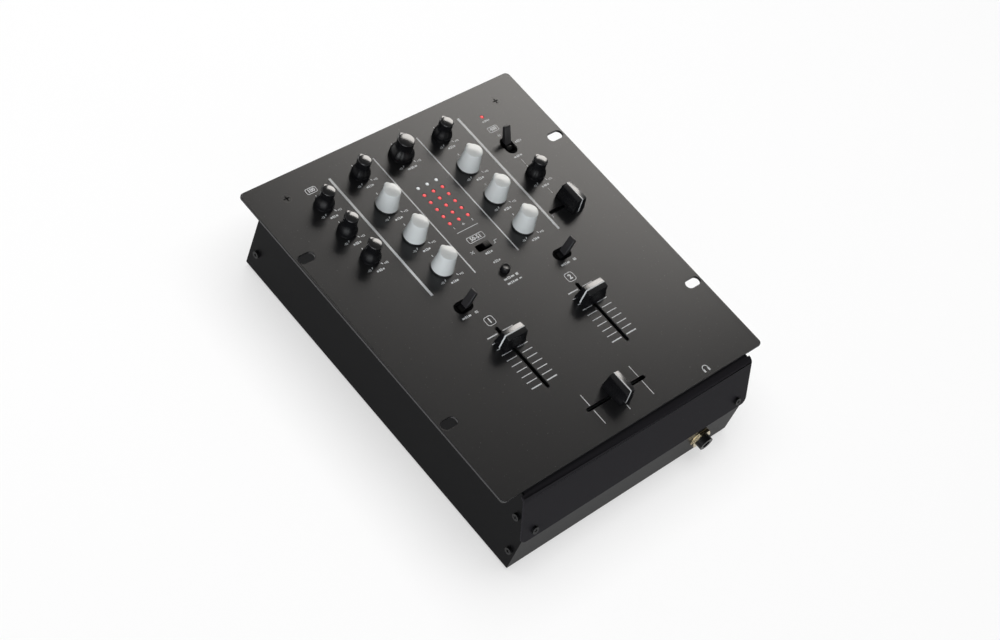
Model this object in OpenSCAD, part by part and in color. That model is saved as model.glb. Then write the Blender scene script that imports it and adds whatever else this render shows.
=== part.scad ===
// Two-channel tabletop mixer, ten inches wide.
// Millimetres, +Z up. The origin is the centre of the faceplate's top surface, which is also the
// centre of its four mounting slots. +X is the player's right, +Y points to the sockets at the back.

/* [Faceplate] */
// Width of the faceplate, ear to ear
plate_w = 254; // [246:1:300]
// Depth of the faceplate, front to back
plate_d = 286; // [282:1:330]
// Thickness of the faceplate
plate_t = 2; // [1.5:0.1:3]
// Radius of the faceplate's corners
plate_corner_r = 3.5; // [1:0.5:8]
// Distance of each mounting slot's centre from the plate's side edge
ear_margin = 8.5; // [8:0.25:9]
// Pitch of the mounting slots, front to back
ear_pitch_y = 154; // [120:1:220]
// Length of a mounting slot
ear_slot_l = 13.4; // [10:0.2:14]
// Width of a mounting slot
ear_slot_w = 7.2; // [5:0.2:8]
// Distance of the plate screws from the side edges
plate_screw_side = 28; // [26:1:36]
// Distance of the plate screws from the back edge
plate_screw_back = 18.4; // [16:0.2:22]
// Diameter of a plate screw's head
plate_screw_head_d = 7.8; // [6.5:0.1:9]
// Diameter of a plate screw's thread
plate_screw_d = 4; // [3:0.5:5]

/* [Case] */
// How far the plate stands out past each side of the case
side_overhang = 16.75; // [15:0.25:19]
// How far the plate stands out past the back of the case
back_overhang = 9.5; // [6:0.5:12]
// How far the front bend starts ahead of the plate's front edge
front_reach = 1.8; // [0.5:0.1:4]
// Depth of the case under the plate
case_h = 73; // [66:1:95]
// Height of the upright lower front
lower_front_h = 35; // [30:1:45]
// Thickness of the case's sheet steel
sheet_t = 1.6; // [1:0.1:2]
// Outer radius of the bend at the top of the front panel
bend_r = 5; // [3:0.5:8]
// Lean of the front panel from upright, degrees
front_lean = 19; // [8:1:25]
// How far the front panel laps past each side wall
panel_lap = 1.75; // [0.5:0.25:4]
// Radius of the front panel's lower corners
panel_corner_r = 5; // [2:0.5:8]
// Diameter of a rubber foot
foot_d = 16; // [12:1:22]
// Height of a rubber foot
foot_h = 3; // [2:0.5:8]
// Distance of each foot's centre from the case's sides and ends
foot_inset = 22; // [16:1:40]
// Thread diameter of the pan head screws
case_screw_d = 3; // [2.5:0.5:4]
// Head diameter of the pan head screws
case_screw_head_d = 5.6; // [5:0.1:7]

/* [Layout of the top] */
// Distance of the outer control columns from the middle
outer_col_x = 79.1; // [77:0.1:81]
// Distance of the channel columns from the middle
channel_col_x = 38.8; // [38:0.1:41]
// Row of the first microphone knob
mic_first_y = 107.6; // [104:0.2:112]
// Pitch of the microphone knobs
mic_pitch = 26.1; // [24:0.1:28]
// Row of the channel gain knobs
gain_y = 117.1; // [114:0.1:118]
// Row of the first tone knobs
eq_first_y = 86.4; // [85:0.1:90]
// Pitch of the tone knobs
eq_pitch = 31.1; // [28:0.1:32]
// Row of the master knob
master_y = 117.4; // [112:0.1:119]
// Row of the headphone level knob
phones_y = 56.1; // [52:0.1:60]
// Row of the meter's first LEDs
meter_first_y = 87.4; // [85:0.1:90]
// Pitch of the meter's rows
meter_pitch_y = 7.16; // [5:0.02:7.5]
// Pitch of the meter's columns
meter_pitch_x = 8.6; // [6:0.1:9]
// Rows of the meter
meter_rows = 6; // [4:1:6]
// Diameter of an LED
led_d = 3; // [2:0.5:4]
// Row of the power LED
power_led_y = 117.4; // [110:0.1:120]

/* [Rotary controls] */
// Gap between the plate and the potentiometers' board
board_gap = 10; // [9.5:0.5:14]
// Thickness of the circuit boards
board_t = 1.6; // [1:0.2:2.4]
// Width of a potentiometer's body
pot_w = 9.8; // [9:0.1:11]
// Height of a potentiometer's body
pot_h = 6.8; // [6:0.1:7]
// Diameter of a potentiometer's shaft
shaft_d = 6; // [5:0.1:6.4]
// Diameter of the bushing round a shaft
bushing_d = 7.4; // [7:0.1:9]
// Radial running clearance of shafts and pivots
run_gap = 0.05; // [0.03:0.01:0.1]
// Clearance between the plate and the caps above it
cap_gap = 0.5; // [0.4:0.1:1.2]
// Width across the foot of a black knob
black_knob_d = 14.4; // [12:0.1:16]
// Width across the top of a black knob
black_knob_top_d = 9.8; // [8.6:0.1:12]
// Height of a black knob's top above the plate
black_knob_h = 16.8; // [14:0.1:22]
// Width across the foot of a white knob
white_knob_d = 16.6; // [13:0.1:17.2]
// Width across the top of a white knob
white_knob_top_d = 12.8; // [9:0.1:13]
// Height of a white knob's top above the plate
white_knob_h = 17.3; // [14:0.1:22]
// Width across the foot of the master knob
master_knob_d = 18.6; // [15:0.1:20]
// Width across the top of the master knob
master_knob_top_d = 12.4; // [10:0.1:14]
// Height of the master knob's top above the plate
master_knob_h = 17.2; // [14:0.1:22]
// How far a white knob's skirt stands out past its grip
skirt_reach = 0.8; // [0.4:0.1:1.2]
// Height of a knob's skirt
skirt_h = 0.7; // [0.5:0.1:1.4]
// How far a knob's pointer fin stands out past its top
pointer_reach = 1.3; // [0.4:0.1:1.6]
// Width of a knob's pointer fin at its nose
pointer_w = 2.4; // [1.5:0.1:3]

/* [Faders] */
// Travel of the channel faders and the crossfader
fader_travel = 47; // [30:1:50]
// Row of the channel faders' mid travel
fader_mid_y = -62.1; // [-63:0.1:-60]
// Where the channel faders' caps rest, from mid travel
fader_rest = 13.7; // [-15:0.1:15]
// Row of the crossfader
cross_y = -118.6; // [-121:0.1:-115]
// Travel of the headphone mix fader
mix_travel = 20; // [14:1:20]
// Row of the headphone mix fader
mix_y = 23.3; // [20:0.1:30]
// Where the headphone mix fader's cap rests, from mid travel
mix_rest = 5; // [-6:0.5:6]
// Width of a fader's slot in the plate
fader_slot_w = 3.2; // [2.4:0.1:5]
// Width of a fader's body
fader_body_w = 9; // [8:0.5:10]
// How far a slide potentiometer's body reaches past each end of its travel
fader_body_end = 13; // [11:0.5:14]
// Length of a fader's lever along its travel
lever_l = 4; // [3:0.5:5]
// Thickness of a fader's lever
lever_t = 1.2; // [0.8:0.1:1.6]
// Length of a fader cap, across its travel
cap_l = 19.3; // [15:0.1:22]
// Width of a fader cap along its travel, at its foot
cap_w = 11.8; // [10:0.1:14]
// Height of a fader cap's top above the plate
cap_h = 14; // [12:0.1:18]
// Width of a fader cap's crown
cap_top_w = 8.6; // [6:0.1:10]
// Length of a fader cap's crown
cap_top_l = 17.6; // [14:0.1:20]
// How far a fader cap's crown falls from its middle to its edges
crown_drop = 0.6; // [0.2:0.1:1.5]
// Depth of the finger hollow in a fader cap's flanks
cap_hollow = 0.35; // [0:0.05:0.8]

/* [Switches] */
// Distance of the line and phono toggles from the middle
toggle_x = 47.5; // [46:0.1:50]
// Row of the line and phono toggles
toggle_y = -9; // [-10:0.1:-7]
// Row of the headphone cue toggle
cue_toggle_y = 86.5; // [84:0.1:90]
// Length of a toggle's opening in the plate
toggle_open_l = 15.6; // [14:0.1:17]
// Width of a toggle's opening in the plate
toggle_open_w = 10; // [9:0.1:11]
// Lean of a line and phono toggle at its stop, degrees
toggle_lean = 14; // [8:1:24]
// Lean of the cue toggle at its stop, degrees
cue_toggle_lean = 24; // [12:1:26]
// Height of an upright toggle lever above the plate
toggle_h = 15.5; // [10:0.5:20]
// Width of a toggle lever
toggle_lever_w = 5.6; // [4:0.1:6]
// Thickness of a toggle lever
toggle_lever_t = 2.8; // [2:0.1:3.4]
// Row of the fader curve's slide switch
curve_y = 24; // [23:0.1:27]
// Length of the slide switch's window
curve_window_l = 13; // [12:0.1:14]
// Width of the slide switch's window
curve_window_w = 6; // [5.4:0.1:7]
// Throw of the slide switch
curve_throw = 5.2; // [3:0.1:5.6]
// Row of the round push button
button_y = 0.6; // [-2:0.1:3]
// Diameter of the push button
button_d = 6.6; // [6:0.1:9]
// Height of the push button above the plate
button_h = 4.2; // [4:0.1:10]
// Travel of the push button
button_travel = 2.5; // [1.5:0.1:3.2]

/* [Sockets] */
// Distance of the headphone jack from the middle
phones_jack_x = 72.7; // [60:0.1:85]
// Distance of the microphone jack from the middle
mic_jack_x = 84; // [80:1:88]
// Place of the first column of phono sockets, to the player's left
phono_first_x = -48; // [-50:0.5:-46]
// Distance between the two columns of one stereo pair
phono_pitch_x = 18; // [16:0.5:20]
// Distance from one pair of columns to the next
phono_pair_pitch_x = 42; // [40:0.5:44]
// Place of the ground posts
ground_post_x = 68; // [66:0.5:70]
// Place of the power inlet
dc_inlet_x = -68; // [-70:0.5:-66]
// Place of the power switch
power_switch_x = -92; // [-94:0.5:-90]
// Diameter of the jacks' bore for a 6.35 mm plug
jack_bore_d = 6.5; // [6.4:0.05:6.6]
// Depth of the jacks' bore
jack_bore_l = 27; // [22:1:28]
// Diameter of the jacks' threaded nose
jack_nose_d = 11.6; // [10:0.1:12.5]
// How far the jacks' nose stands out of the case
jack_nose_l = 8; // [5:0.5:10]
// Width across the flats of a jack's nut
jack_nut_w = 15.6; // [14:0.1:17]
// Thickness of a jack's nut
jack_nut_t = 2.4; // [2:0.1:3]
// Diameter of a phono socket's sleeve
rca_d = 8.3; // [8.2:0.1:8.5]
// Length of a phono socket's sleeve outside its collar
rca_l = 8.6; // [7.4:0.1:10]
// Diameter of a phono socket's centre hole
rca_bore_d = 3.2; // [3:0.1:3.4]
// Height of the sockets' middle line under the plate
socket_z = -39; // [-42:1:-36]
// Vertical pitch of the phono sockets
rca_pitch_z = 18; // [14:1:20]

/* [Hidden] */
$fn = 64;
eps = 0.02;
// Play between a fitting and its hole in the plate, across the diameter
hole_gap = 0.4;

// The layout is given for a plate of this size; on another plate it spreads in proportion
drawn_plate_w = 254;
drawn_plate_d = 286;
function col(x) = x * plate_w / drawn_plate_w;
function row(y) = y * plate_d / drawn_plate_d;

// Case outline, worked out from the plate
case_w = plate_w - 2 * side_overhang;
inner_w = case_w - 2 * sheet_t;
back_y = plate_d / 2 - back_overhang;
case_bottom = -plate_t - case_h;
crease_z = case_bottom + lower_front_h;
floor_top = case_bottom + sheet_t;
bend_y = -(plate_d / 2 + front_reach);
bend_z = -(plate_t + bend_r);
// The front panel's skin, a distance d inside its outer surface: tangent point and crease point
function skin_start(d) = [bend_y - (bend_r - d) * cos(front_lean), bend_z + (bend_r - d) * sin(front_lean)];
function skin_y(d, z) = skin_start(d)[0] - (skin_start(d)[1] - z) * tan(front_lean);
lower_y = skin_y(sheet_t, crease_z);
panel_l = (skin_start(0)[1] - crease_z) / cos(front_lean);
lap_l = 13;
panel_screw_up = 7.5;
panel_screw_in = 9.5;
tab_l = 14;
tab_gap = 0.6;

// Circuit boards
board_top = -plate_t - board_gap;
board_w = case_w - 11;
board_front = row(cross_y) - 9.5;
board_back = back_y - 7.5;
stud_d = 6;
stud_x = case_w / 2 - 14;
STUD_Y = [board_back - 25, 0, board_front + 18];
jack_board_top = socket_z - rca_pitch_z / 2 - 10;
jack_board_d = 28;

// Rotary controls: name, x, y, kind of knob (0 black, 1 white, 2 master)
ROTARY = concat(
    [for (i = [0:2]) [["mic_gain", "mic_treble", "mic_bass"][i], -col(outer_col_x),
        row(mic_first_y - i * mic_pitch), 0]],
    [for (side = [-1, 1]) for (i = [0:3])
        [str(side < 0 ? "channel_1_" : "channel_2_", ["gain", "treble", "mid", "bass"][i]),
         side * col(channel_col_x), row(i == 0 ? gain_y : eq_first_y - (i - 1) * eq_pitch),
         i == 0 ? 0 : 1]],
    [["master", 0, row(master_y), 2], ["phones", col(outer_col_x), row(phones_y), 0]]);
KNOB_D = [black_knob_d, white_knob_d, master_knob_d];
KNOB_TOP_D = [black_knob_top_d, white_knob_top_d, master_knob_top_d];
KNOB_H = [black_knob_h, white_knob_h, master_knob_h];
KNOB_COLOR = ["#1c1c1e", "#cfd3d4", "#1c1c1e"];

// Faders: name, x and y of mid travel, travel, resting place, turn of the travel from +X
FADERS = [
    ["channel_1_fader", -col(channel_col_x), row(fader_mid_y), fader_travel, fader_rest, 90],
    ["channel_2_fader", col(channel_col_x), row(fader_mid_y), fader_travel, fader_rest, 90],
    ["crossfader", 0, row(cross_y), fader_travel, 0, 0],
    ["phones_mix", col(outer_col_x), row(mix_y), mix_travel, mix_rest, 0]];

// Toggles: name, x, y, lean at rest, turn of the lean from +X
TOGGLES = [
    ["channel_1_toggle", -col(toggle_x), row(toggle_y), toggle_lean, 0],
    ["channel_2_toggle", col(toggle_x), row(toggle_y), toggle_lean, 0],
    ["cue_toggle", col(outer_col_x), row(cue_toggle_y), cue_toggle_lean, 90]];
toggle_pivot_z = -plate_t - 3;
toggle_collar_h = -0.4;

// Places of the meter, the power LED, the slide switch and the push button
function meter_places(first, last) =
    [for (i = [first:last]) for (c = [-1:1]) [c * meter_pitch_x, row(meter_first_y - i * meter_pitch_y)]];
power_led_at = [col(outer_col_x), row(power_led_y)];
curve_at = [0, row(curve_y)];
button_at = [0, row(button_y)];

// Phono sockets stand in columns of two; the other rear fittings keep clear of them
RCA_X = [for (pair = [0:2], side = [0, 1])
    col(phono_first_x + pair * phono_pair_pitch_x + side * phono_pitch_x)];
ground_x = col(ground_post_x);
dc_x = col(dc_inlet_x);
power_x = col(power_switch_x);
mic_x = col(mic_jack_x);
phones_x = col(phones_jack_x);

STATIC = ["faceplate", "chassis", "front_panel", "rear_panel", "rubber_feet", "faceplate_screws",
    "case_screws", "potentiometer_bodies", "fader_bodies", "switch_bodies", "red_leds", "clear_leds",
    "main_board", "jack_board", "phone_jacks", "phone_jack_nuts", "phono_sockets", "ground_posts",
    "dc_inlet", "power_switch_housing"];
MOVING = ["curve_switch", "push_button", "power_rocker"];

// ---- shapes that repeat ----

module rounded_rect(w, d, r) {
    square([w - 2 * r, d], center = true);
    square([w, d - 2 * r], center = true);
    for (sx = [-1, 1], sy = [-1, 1]) translate([sx * (w / 2 - r), sy * (d / 2 - r)]) circle(r);
}

module slot(l, w) {
    square([l - w, w], center = true);
    for (s = [-1, 1]) translate([s * (l - w) / 2, 0]) circle(d = w);
}

// A block standing on z0, centred on its x and y
module block(w, d, z0, z1) translate([-w / 2, -d / 2, z0]) cube([w, d, z1 - z0]);

// A disc or post from z0 to z1
module post(d, z0, z1) translate([0, 0, z0]) cylinder(d = d, h = z1 - z0);

// Extrudes a side outline, drawn as [y, z], between two x
module across(x0, x1) translate([x0, 0, 0]) rotate([90, 0, 90]) linear_extrude(x1 - x0) children();

// A pan head screw: head above z = 0, thread down the -Z axis
module pan_screw(length) {
    difference() {
        post(case_screw_head_d, 0, 2);
        for (a = [0, 90]) rotate(a) translate([-1.5, -0.35, 1.1]) cube([3, 0.7, 1]);
    }
    post(case_screw_d, -length, eps);
}

// Places its children on the outer face of a side wall, with +Z leaving the case
module on_side(side, y, z) translate([side * case_w / 2, y, z]) rotate([0, side * 90, 0]) children();

// Places its children on the front panel's outer face, up the slope from the crease
module on_front_panel(x, up)
    translate([x, skin_y(0, crease_z), crease_z]) rotate([90 - front_lean, 0, 0])
        translate([0, up, 0]) children();

// Places its children on the back panel's outer face, with +Z leaving the case
module on_back(x, z) translate([x, back_y, z]) rotate([-90, 0, 0]) children();

// Side screws: two hold the front, two the back panel's tabs
SIDE_SCREWS = [
    [bend_y - 3.4, bend_z - 16.5], [lower_y + 4.6, case_bottom + 18],
    [back_y - 8, -plate_t - 16], [back_y - 8, case_bottom + 18]];

// ---- the case ----

module faceplate() color("#2c2c2e") {
    difference() {
        translate([0, 0, -plate_t]) linear_extrude(plate_t) difference() {
            rounded_rect(plate_w, plate_d, plate_corner_r);
            for (sx = [-1, 1], sy = [-1, 1])
                translate([sx * (plate_w / 2 - ear_margin), sy * ear_pitch_y / 2])
                    slot(ear_slot_l, ear_slot_w);
            for (r = ROTARY) translate([r[1], r[2]]) circle(d = bushing_d + hole_gap);
            for (f = FADERS)
                translate([f[1], f[2]]) rotate(f[5]) slot(f[3] + lever_l + 6, fader_slot_w);
            for (t = TOGGLES) translate([t[1], t[2]]) rotate(t[4]) slot(toggle_open_l, toggle_open_w);
            translate(curve_at) rounded_rect(curve_window_l, curve_window_w, 0.8);
            translate(button_at) circle(d = button_d + 2 * hole_gap);
            for (p = meter_places(0, meter_rows - 1)) translate(p) circle(d = led_d + hole_gap / 2);
            translate(power_led_at) circle(d = led_d + hole_gap / 2);
        }
        for (sx = [-1, 1]) translate([sx * plate_screw_x, plate_screw_y, -plate_t]) {
            translate([0, 0, -eps]) cylinder(d = plate_screw_d, h = plate_t + 2 * eps);
            translate([0, 0, plate_t - screw_cone_h])
                cylinder(d1 = plate_screw_d, d2 = plate_screw_head_d, h = screw_cone_h);
        }
    }
    // Studs welded under the plate, drilled for the main board's screws
    for (sx = [-1, 1], y = STUD_Y) translate([sx * stud_x, y, 0]) difference() {
        post(stud_d, board_top, -plate_t + eps);
        post(case_screw_d, board_top - eps, board_top + 6);
    }
}

plate_screw_x = plate_w / 2 - plate_screw_side;
plate_screw_y = plate_d / 2 - plate_screw_back;
plate_screw_grip = 7;
plate_tab_w = 16;
screw_cone_h = min(plate_t - 0.3, (plate_screw_head_d - plate_screw_d) / 2);

module faceplate_screws() color("#17171a") {
    for (sx = [-1, 1]) translate([sx * plate_screw_x, plate_screw_y, 0]) difference() {
        union() {
            translate([0, 0, -screw_cone_h])
                cylinder(d1 = plate_screw_d, d2 = plate_screw_head_d, h = screw_cone_h);
            post(plate_screw_d, -plate_t - plate_screw_grip, -screw_cone_h + eps);
        }
        for (a = [0, 90]) rotate(a) translate([-2.2, -0.45, -1]) cube([4.4, 0.9, 1.5]);
    }
}

// The side wall's outline follows the inside of the front panel
module side_outline() polygon(concat(
    [[back_y, case_bottom], [lower_y, case_bottom], [lower_y, crease_z]],
    [for (a = [180 - front_lean:-front_lean / 2 - 1:92])
        [bend_y + (bend_r - sheet_t) * cos(a), bend_z + (bend_r - sheet_t) * sin(a)]],
    [[bend_y, -plate_t - sheet_t], [bend_y, -plate_t], [back_y, -plate_t]]));

// The upright lower front with the leaning flange that the front panel laps over
module lower_front_outline() polygon([
    [lower_y, case_bottom], [lower_y, crease_z],
    [lower_y + lap_l * sin(front_lean), crease_z + lap_l * cos(front_lean)],
    [lower_y + lap_l * sin(front_lean) + sheet_t * cos(front_lean),
     crease_z + lap_l * cos(front_lean) - sheet_t * sin(front_lean)],
    [lower_y + sheet_t, crease_z - sheet_t * tan(front_lean / 2)], [lower_y + sheet_t, case_bottom]]);

FEET = [for (sx = [-1, 1], y = [lower_y + foot_inset, back_y - foot_inset])
    [sx * (case_w / 2 - foot_inset), y]];
jack_post_x = 60;
jack_post_in = 5;
JACK_BOARD_POSTS = [for (s = [-1:1])
    [s * col(jack_post_x), back_y - sheet_t - jack_board_d + jack_post_in]];

module chassis() color("#232326") {
    difference() {
        union() {
            for (s = [-1, 1]) translate([s * (case_w - sheet_t) / 2, 0, 0])
                across(-sheet_t / 2, sheet_t / 2) side_outline();
            translate([-inner_w / 2 - eps, lower_y, case_bottom])
                cube([inner_w + 2 * eps, back_y - lower_y, sheet_t]);
            across(-inner_w / 2 - eps, inner_w / 2 + eps) lower_front_outline();
        }
        for (s = [-1, 1], p = SIDE_SCREWS) on_side(s, p[0], p[1]) post(case_screw_d, -2 * sheet_t, 1);
        for (s = [-1, 1]) on_front_panel(s * panel_screw_x, panel_screw_up)
            post(case_screw_d, -4 * sheet_t, 1);
        for (p = FEET) translate([p[0], p[1], case_bottom]) post(case_screw_d, -1, sheet_t + 1);
        translate([phones_x, lower_y, phones_jack_z]) rotate([90, 0, 0])
            post(jack_nose_d + hole_gap / 2, -2 * sheet_t, 1);
        // Room for the front panel's tabs at both ends of the leaning flange
        for (s = [-1, 1]) translate([s * (inner_w - sheet_t - tab_gap) / 2, lower_y + lap_l / 2, 0])
            block(sheet_t + tab_gap, lap_l + 2, crease_z + 2, -plate_t - bend_r);
    }
    for (p = JACK_BOARD_POSTS) translate(p) post(stud_d, floor_top - eps, jack_board_top - board_t);
}

panel_screw_x = case_w / 2 - panel_screw_in;
phones_jack_z = (case_bottom + crease_z) / 2 + 1;

// The bent and leaning skin of the front, lapping over both side walls
module front_panel() color("#333135") {
    difference() {
        union() {
            across(-panel_w / 2, panel_w / 2) polygon(concat(
                [for (a = [90:front_lean / 2 - 0.5 + 1:180 - front_lean]) bend_point(bend_r, a)],
                [bend_point(bend_r, 180 - front_lean), bend_point(bend_r - sheet_t, 180 - front_lean)],
                [for (a = [180 - front_lean:-(front_lean / 2 + 0.5):90]) bend_point(bend_r - sheet_t, a)],
                [bend_point(bend_r - sheet_t, 90)]));
            on_front_panel(0, panel_l / 2) translate([0, 0, -sheet_t]) linear_extrude(sheet_t)
                difference() {
                    square([panel_w, panel_l + eps], center = true);
                    for (s = [-1, 1]) translate([s * panel_w / 2, -panel_l / 2]) difference() {
                        square(2 * panel_corner_r, center = true);
                        translate([-s * panel_corner_r, panel_corner_r]) circle(panel_corner_r);
                    }
                }
            translate([-inner_w / 2 + 0.2, bend_y - eps, -plate_t - sheet_t])
                cube([inner_w - 0.4, panel_flange_d, sheet_t]);
            for (s = [-1, 1]) side_tab(s);
        }
        for (s = [-1, 1]) {
            on_side(s, SIDE_SCREWS[0][0], SIDE_SCREWS[0][1]) post(case_screw_d, -3 * sheet_t, 1);
            on_front_panel(s * panel_screw_x, panel_screw_up) post(case_screw_d, -2 * sheet_t, 1);
        }
    }
}

panel_flange_d = 16;
panel_w = case_w + 2 * panel_lap;
function bend_point(r, a) = [bend_y + r * cos(a), bend_z + r * sin(a)];

// A tab behind the side wall, which the upper side screw holds
module side_tab(s) {
    top_z = SIDE_SCREWS[0][1] + tab_l / 2;
    low_z = SIDE_SCREWS[0][1] - tab_l / 2;
    inner_x = s * inner_w / 2;
    across(min(inner_x, inner_x - s * sheet_t), max(inner_x, inner_x - s * sheet_t)) polygon([
        [skin_y(sheet_t, top_z) - eps, top_z], [skin_y(sheet_t, low_z) - eps, low_z],
        [SIDE_SCREWS[0][0] + tab_l / 2, low_z], [SIDE_SCREWS[0][0] + tab_l / 2, top_z]]);
}

module rear_panel() color("#232326") {
    top_flange = back_y - row(max(gain_y, master_y)) - pot_w / 2 - 1;
    difference() {
        union() {
            translate([-inner_w / 2, back_y - sheet_t, floor_top])
                cube([inner_w, sheet_t, -plate_t - floor_top]);
            translate([-inner_w / 2, back_y - top_flange, -plate_t - sheet_t])
                cube([inner_w, top_flange, sheet_t]);
            for (s = [-1, 1])
                translate([s * plate_screw_x, (back_y + plate_screw_y - plate_tab_w / 2) / 2, 0])
                    block(plate_tab_w, back_y - plate_screw_y + plate_tab_w / 2, -plate_t - sheet_t, -plate_t);
            for (s = [-1, 1], p = [SIDE_SCREWS[2], SIDE_SCREWS[3]])
                translate([s * (inner_w - sheet_t) / 2 - sheet_t / 2, back_y - tab_l, p[1] - tab_l / 2])
                    cube([sheet_t, tab_l, tab_l]);
        }
        for (s = [-1, 1]) {
            translate([s * plate_screw_x, plate_screw_y, -plate_t]) post(plate_screw_d, -3 * sheet_t, 1);
            for (p = [SIDE_SCREWS[2], SIDE_SCREWS[3]]) on_side(s, p[0], p[1])
                post(case_screw_d, -3 * sheet_t, 1);
        }
        for (x = RCA_X, s = [-1, 1]) on_back(x, socket_z + s * rca_pitch_z / 2)
            post(rca_collar_d + hole_gap / 2, -2 * sheet_t, 1);
        for (s = [-1, 1]) on_back(ground_x, socket_z + s * rca_pitch_z / 2) post(ground_d, -2 * sheet_t, 1);
        on_back(mic_x, socket_z) post(jack_nose_d + hole_gap / 2, -2 * sheet_t, 1);
        on_back(dc_x, socket_z) post(dc_d + hole_gap / 2, -2 * sheet_t, 1);
        on_back(power_x, socket_z)
            block(power_body_w + hole_gap / 2, power_body_h + hole_gap / 2, -2 * sheet_t, 1);
    }
}

module rubber_feet() color("#151517") {
    for (p = FEET) translate([p[0], p[1], case_bottom - foot_h]) difference() {
        cylinder(d1 = foot_d - 1, d2 = foot_d, h = foot_h);
        post(case_screw_head_d + 1.4, -1, foot_screw_sink);
        post(case_screw_d, -1, foot_h + 1);
    }
}

// Depth of the pocket that hides a foot screw's head
foot_screw_sink = min(2.2, foot_h - 0.6);

module case_screws() color("#1a1a1c") {
    for (s = [-1, 1], p = SIDE_SCREWS) on_side(s, p[0], p[1]) pan_screw(2 * sheet_t + 2);
    for (s = [-1, 1]) on_front_panel(s * panel_screw_x, panel_screw_up) pan_screw(2 * sheet_t + 2);
    for (p = FEET) translate([p[0], p[1], case_bottom - foot_h + foot_screw_sink]) rotate([180, 0, 0])
        foot_screw();
    for (sx = [-1, 1], y = STUD_Y) translate([sx * stud_x, y, board_top - board_t]) rotate([180, 0, 0])
        pan_screw(board_t + 5);
}

// A foot screw's low head lies wholly inside its pocket
module foot_screw() {
    post(case_screw_head_d, 0, foot_screw_sink - 0.6);
    post(case_screw_d, -foot_h + foot_screw_sink - 2 * sheet_t, eps);
}

// ---- boards and what stands on them ----

module main_board() color("#1f5a3a") {
    difference() {
        translate([-board_w / 2, board_front, board_top - board_t])
            cube([board_w, board_back - board_front, board_t]);
        for (sx = [-1, 1], y = STUD_Y) translate([sx * stud_x, y, 0])
            post(case_screw_d, board_top - board_t - 1, board_top + 1);
    }
}

module jack_board() color("#1f5a3a")
    translate([-board_w / 2 + 4, back_y - sheet_t - jack_board_d, jack_board_top - board_t])
        cube([board_w - 8, jack_board_d - 0.5, board_t]);

rotor_d = shaft_d + 2;
rotor_z = board_top + 0.6;
rotor_h = 1.5;
bushing_top = -0.6;

module potentiometer_bodies() color("#6d7174") {
    for (r = ROTARY) translate([r[1], r[2], 0]) difference() {
        union() {
            block(pot_w, pot_w, board_top, board_top + pot_h);
            post(bushing_d, board_top + pot_h - eps, bushing_top);
        }
        post(rotor_d + 0.6, rotor_z, rotor_z + rotor_h + 0.4);
        post(shaft_d + 2 * run_gap, rotor_z, bushing_top + 1);
    }
}

// A shaft is round in its bushing and D-shaped inside the knob
module shaft_section() intersection() {
    circle(d = shaft_d);
    translate([-shaft_d / 2, -shaft_d / 4]) square([shaft_d, shaft_d]);
}

bore_depth = 11;
belly_h = 2;

module rotary_shaft(r) color("#b9bcbf") translate([r[1], r[2], 0]) {
    post(rotor_d, rotor_z, rotor_z + rotor_h);
    post(shaft_d, rotor_z, -0.2);
    translate([0, 0, -0.2 - eps]) linear_extrude(cap_gap + bore_depth + 0.2 + eps) shaft_section();
}

// Share of the foot's extra radius left at height share t: a black knob has a narrow neck
function flare(white, t) = white ? 1 - t : (1 + cos(180 * min(1, t / neck_share))) / 2;
neck_share = 0.64;

// A knob is turned from its outline: skirt or belly, grip, rounded shoulder and shallow domed top
module rotary_knob(r) color(KNOB_COLOR[r[3]]) {
    white = r[3] == 1;
    foot_r = KNOB_D[r[3]] / 2;
    top_r = KNOB_TOP_D[r[3]] / 2;
    h = KNOB_H[r[3]];
    shoulder_r = 0.6;
    dome_h = 0.45;
    skirt_r = foot_r + (white ? skirt_reach : 0);
    grip_z = cap_gap + (white ? skirt_h : belly_h);
    grip_h = h - dome_h - shoulder_r - grip_z;
    translate([r[1], r[2], 0]) difference() {
        union() {
            rotate_extrude() polygon(concat(
                [[0, cap_gap], [skirt_r - 0.3, cap_gap], [skirt_r, cap_gap + 0.3],
                 [skirt_r, cap_gap + skirt_h - 0.2]],
                [for (t = [0:0.125:0.875]) [top_r + (foot_r - top_r) * flare(white, t),
                    grip_z + grip_h * t]],
                [for (a = [0:22.5:90]) [top_r - shoulder_r * (1 - cos(a)),
                    h - dome_h - shoulder_r * (1 - sin(a))]],
                [[top_r * 0.45, h - dome_h * 0.25], [0, h]]));
            // The pointer is a wedge at the top that runs out into the grip lower down
            nose_y = top_r + pointer_reach - pointer_w / 2;
            side = (top_r - 0.3) * 0.94;
            translate([0, 0, h * 0.45]) linear_extrude(h * 0.55 - dome_h - 0.2) {
                polygon([[-side, side / 3], [-pointer_w / 2, nose_y], [pointer_w / 2, nose_y],
                    [side, side / 3]]);
                translate([0, nose_y]) circle(d = pointer_w);
            }
        }
        translate([0, 0, cap_gap - 1]) linear_extrude(bore_depth + 1) shaft_section();
    }
}

led_dome_z = -1;
led_collar_h = 1;

// An LED stands on the board and its dome comes up through the plate
module led() {
    post(led_d, board_top, led_dome_z);
    post(led_d + 0.8, board_top, board_top + led_collar_h);
    translate([0, 0, led_dome_z]) sphere(d = led_d);
}

module red_leds() color("#e8404a")
    for (p = concat(meter_places(1, meter_rows - 1), [power_led_at])) translate(p) led();

module clear_leds() color("#f2f2ee")
    for (p = meter_places(0, 0)) translate(p) led();

// ---- faders ----

fader_floor = board_top + 1;
carriage_top = fader_floor + 4;
carriage_w = fader_body_w - 2.8;

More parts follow.
